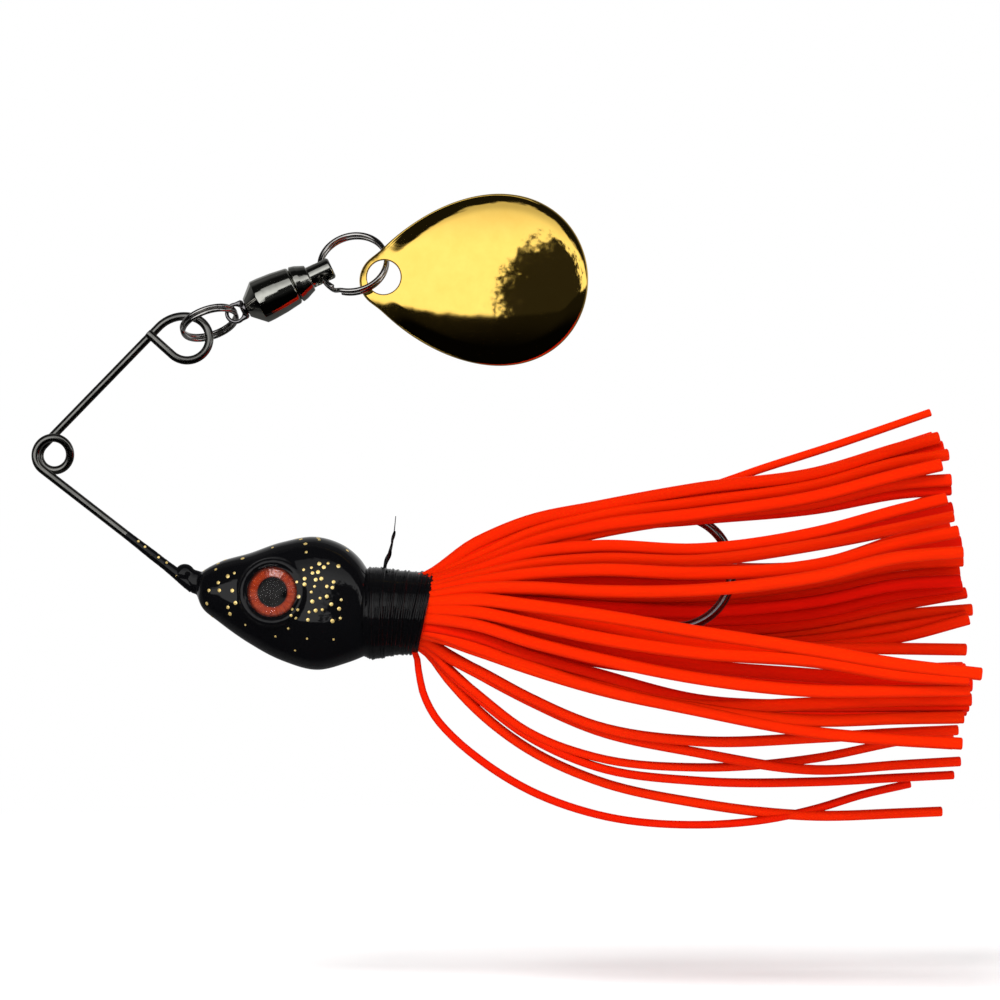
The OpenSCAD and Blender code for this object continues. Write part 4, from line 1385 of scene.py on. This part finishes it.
def build_world():
    """White to the camera; mirrors see a bright window, dark ground, trees and a dark zenith."""
    world = bpy.data.worlds.new("studio")
    bpy.context.scene.world = world
    g = Graph(world)
    world.cycles.sampling_method = "NONE"
    direction = g.node("TexCoord").outputs["Generated"]
    dx, dy, dz = g.split(direction)

    def ragged(scale, detail, rough, size):
        """Noise about 0 over the directions."""
        return g.times(g.minus(g.noise(direction, scale, detail, rough), 0.5), size)

    def backdrop(strength):
        made = g.node("Background")
        put(made.inputs["Color"], (1, 1, 1))
        put(made.inputs["Strength"], strength)
        return made.outputs[0]

    square_x = g.times(dx, dx)
    sill = g.plus(g.times(square_x, 0.2), ragged(9.0, 4.0, 0.6, 0.05))
    above = between(g, g.minus(dz, sill), -0.225, -0.195)
    brow = g.plus(g.times(square_x, 0.9), g.times(dx, -0.12))
    brow = g.plus(brow, ragged(5.0, 5.0, 0.65, 0.26))
    below = between(g, g.plus(dz, brow), 0.86, 0.79)
    front = g.minus(1.0, g.times(between(g, dy, -0.02, 0.2), 0.72))
    window = g.times(g.times(above, below), front)
    fall = g.minus(1.35, g.times(between(g, dz, 0.25, 0.75), 0.75))

    crown_x = g.math("DIVIDE", g.minus(dx, 0.43), 0.46)
    crown_z = g.math("DIVIDE", g.minus(dz, -0.08), 0.44)
    far_out = g.math("SQRT", g.plus(g.times(crown_x, crown_x), g.times(crown_z, crown_z)))
    leafy = g.plus(g.minus(1.0, far_out), ragged(13.0, 9.0, 0.78, 1.75))
    crown = g.times(between(g, leafy, 0.0, 0.12), between(g, dy, 0.0, -0.2))
    lit = g.times(g.times(window, fall), g.minus(1.0, g.times(crown, 0.99)))

    ground = g.plus(g.times(between(g, dz, -0.45, -0.2), 0.009), 0.001)
    behind = g.times(between(g, dy, -0.1, 0.35), 0.10)
    glossy = backdrop(g.plus(g.plus(ground, behind), lit))
    soft = backdrop(g.plus(0.24, g.times(between(g, dz, -0.5, 0.8), 0.46)))

    path = g.node("LightPath").outputs
    seen = g.mix_shaders(path["Is Glossy Ray"], soft, glossy)
    seen = g.mix_shaders(path["Is Camera Ray"], seen, backdrop(1.0))
    g.link(seen, g.node("OutputWorld").inputs["Surface"])


def build_lights():
    centre = Vector((0.055, 0, -0.01))
    for name, place, size, power in (("key", (-0.05, -0.32, 0.42), 0.22, 2.3),
                                     ("fill", (0.35, -0.42, 0.05), 0.40, 0.6),
                                     ("rim", (0.10, 0.40, 0.32), 0.30, 1.0)):
        data = bpy.data.lights.new(name, "AREA")
        data.size = size
        data.energy = power
        light = bpy.data.objects.new(name, data)
        light.location = place
        light.rotation_mode = "QUATERNION"
        light.rotation_quaternion = (centre - Vector(place)).to_track_quat("-Z", "Y")
        bpy.context.scene.collection.objects.link(light)
        light.visible_glossy = False


def build_camera():
    """Level with the lure, square to its side, with a long lens."""
    data = bpy.data.cameras.new("camera")
    data.lens = 150
    data.sensor_width = 36
    data.clip_start = 0.01
    view_width = 0.118
    distance = view_width * data.lens / data.sensor_width
    camera = bpy.data.objects.new("camera", data)
    camera.location = (VIEW_X * MM, -distance, VIEW_Z * MM)
    camera.rotation_euler = (math.pi / 2, 0, 0)
    bpy.context.scene.collection.objects.link(camera)
    bpy.context.scene.camera = camera
    bpy.context.scene.view_settings.view_transform = "Standard"


build_frame_wire()
build_wire_paint()
build_split_rings()
build_swivel()
build_post()
build_balls()
build_blade()
build_glitter(build_head())
for eye_side, eye_outward in EYES:
    build_eye(eye_side, eye_outward)
build_hook()
build_wrap()
build_skirt()
build_stage()
build_world()
build_lights()
build_camera()

bpy.context.view_layer.update()
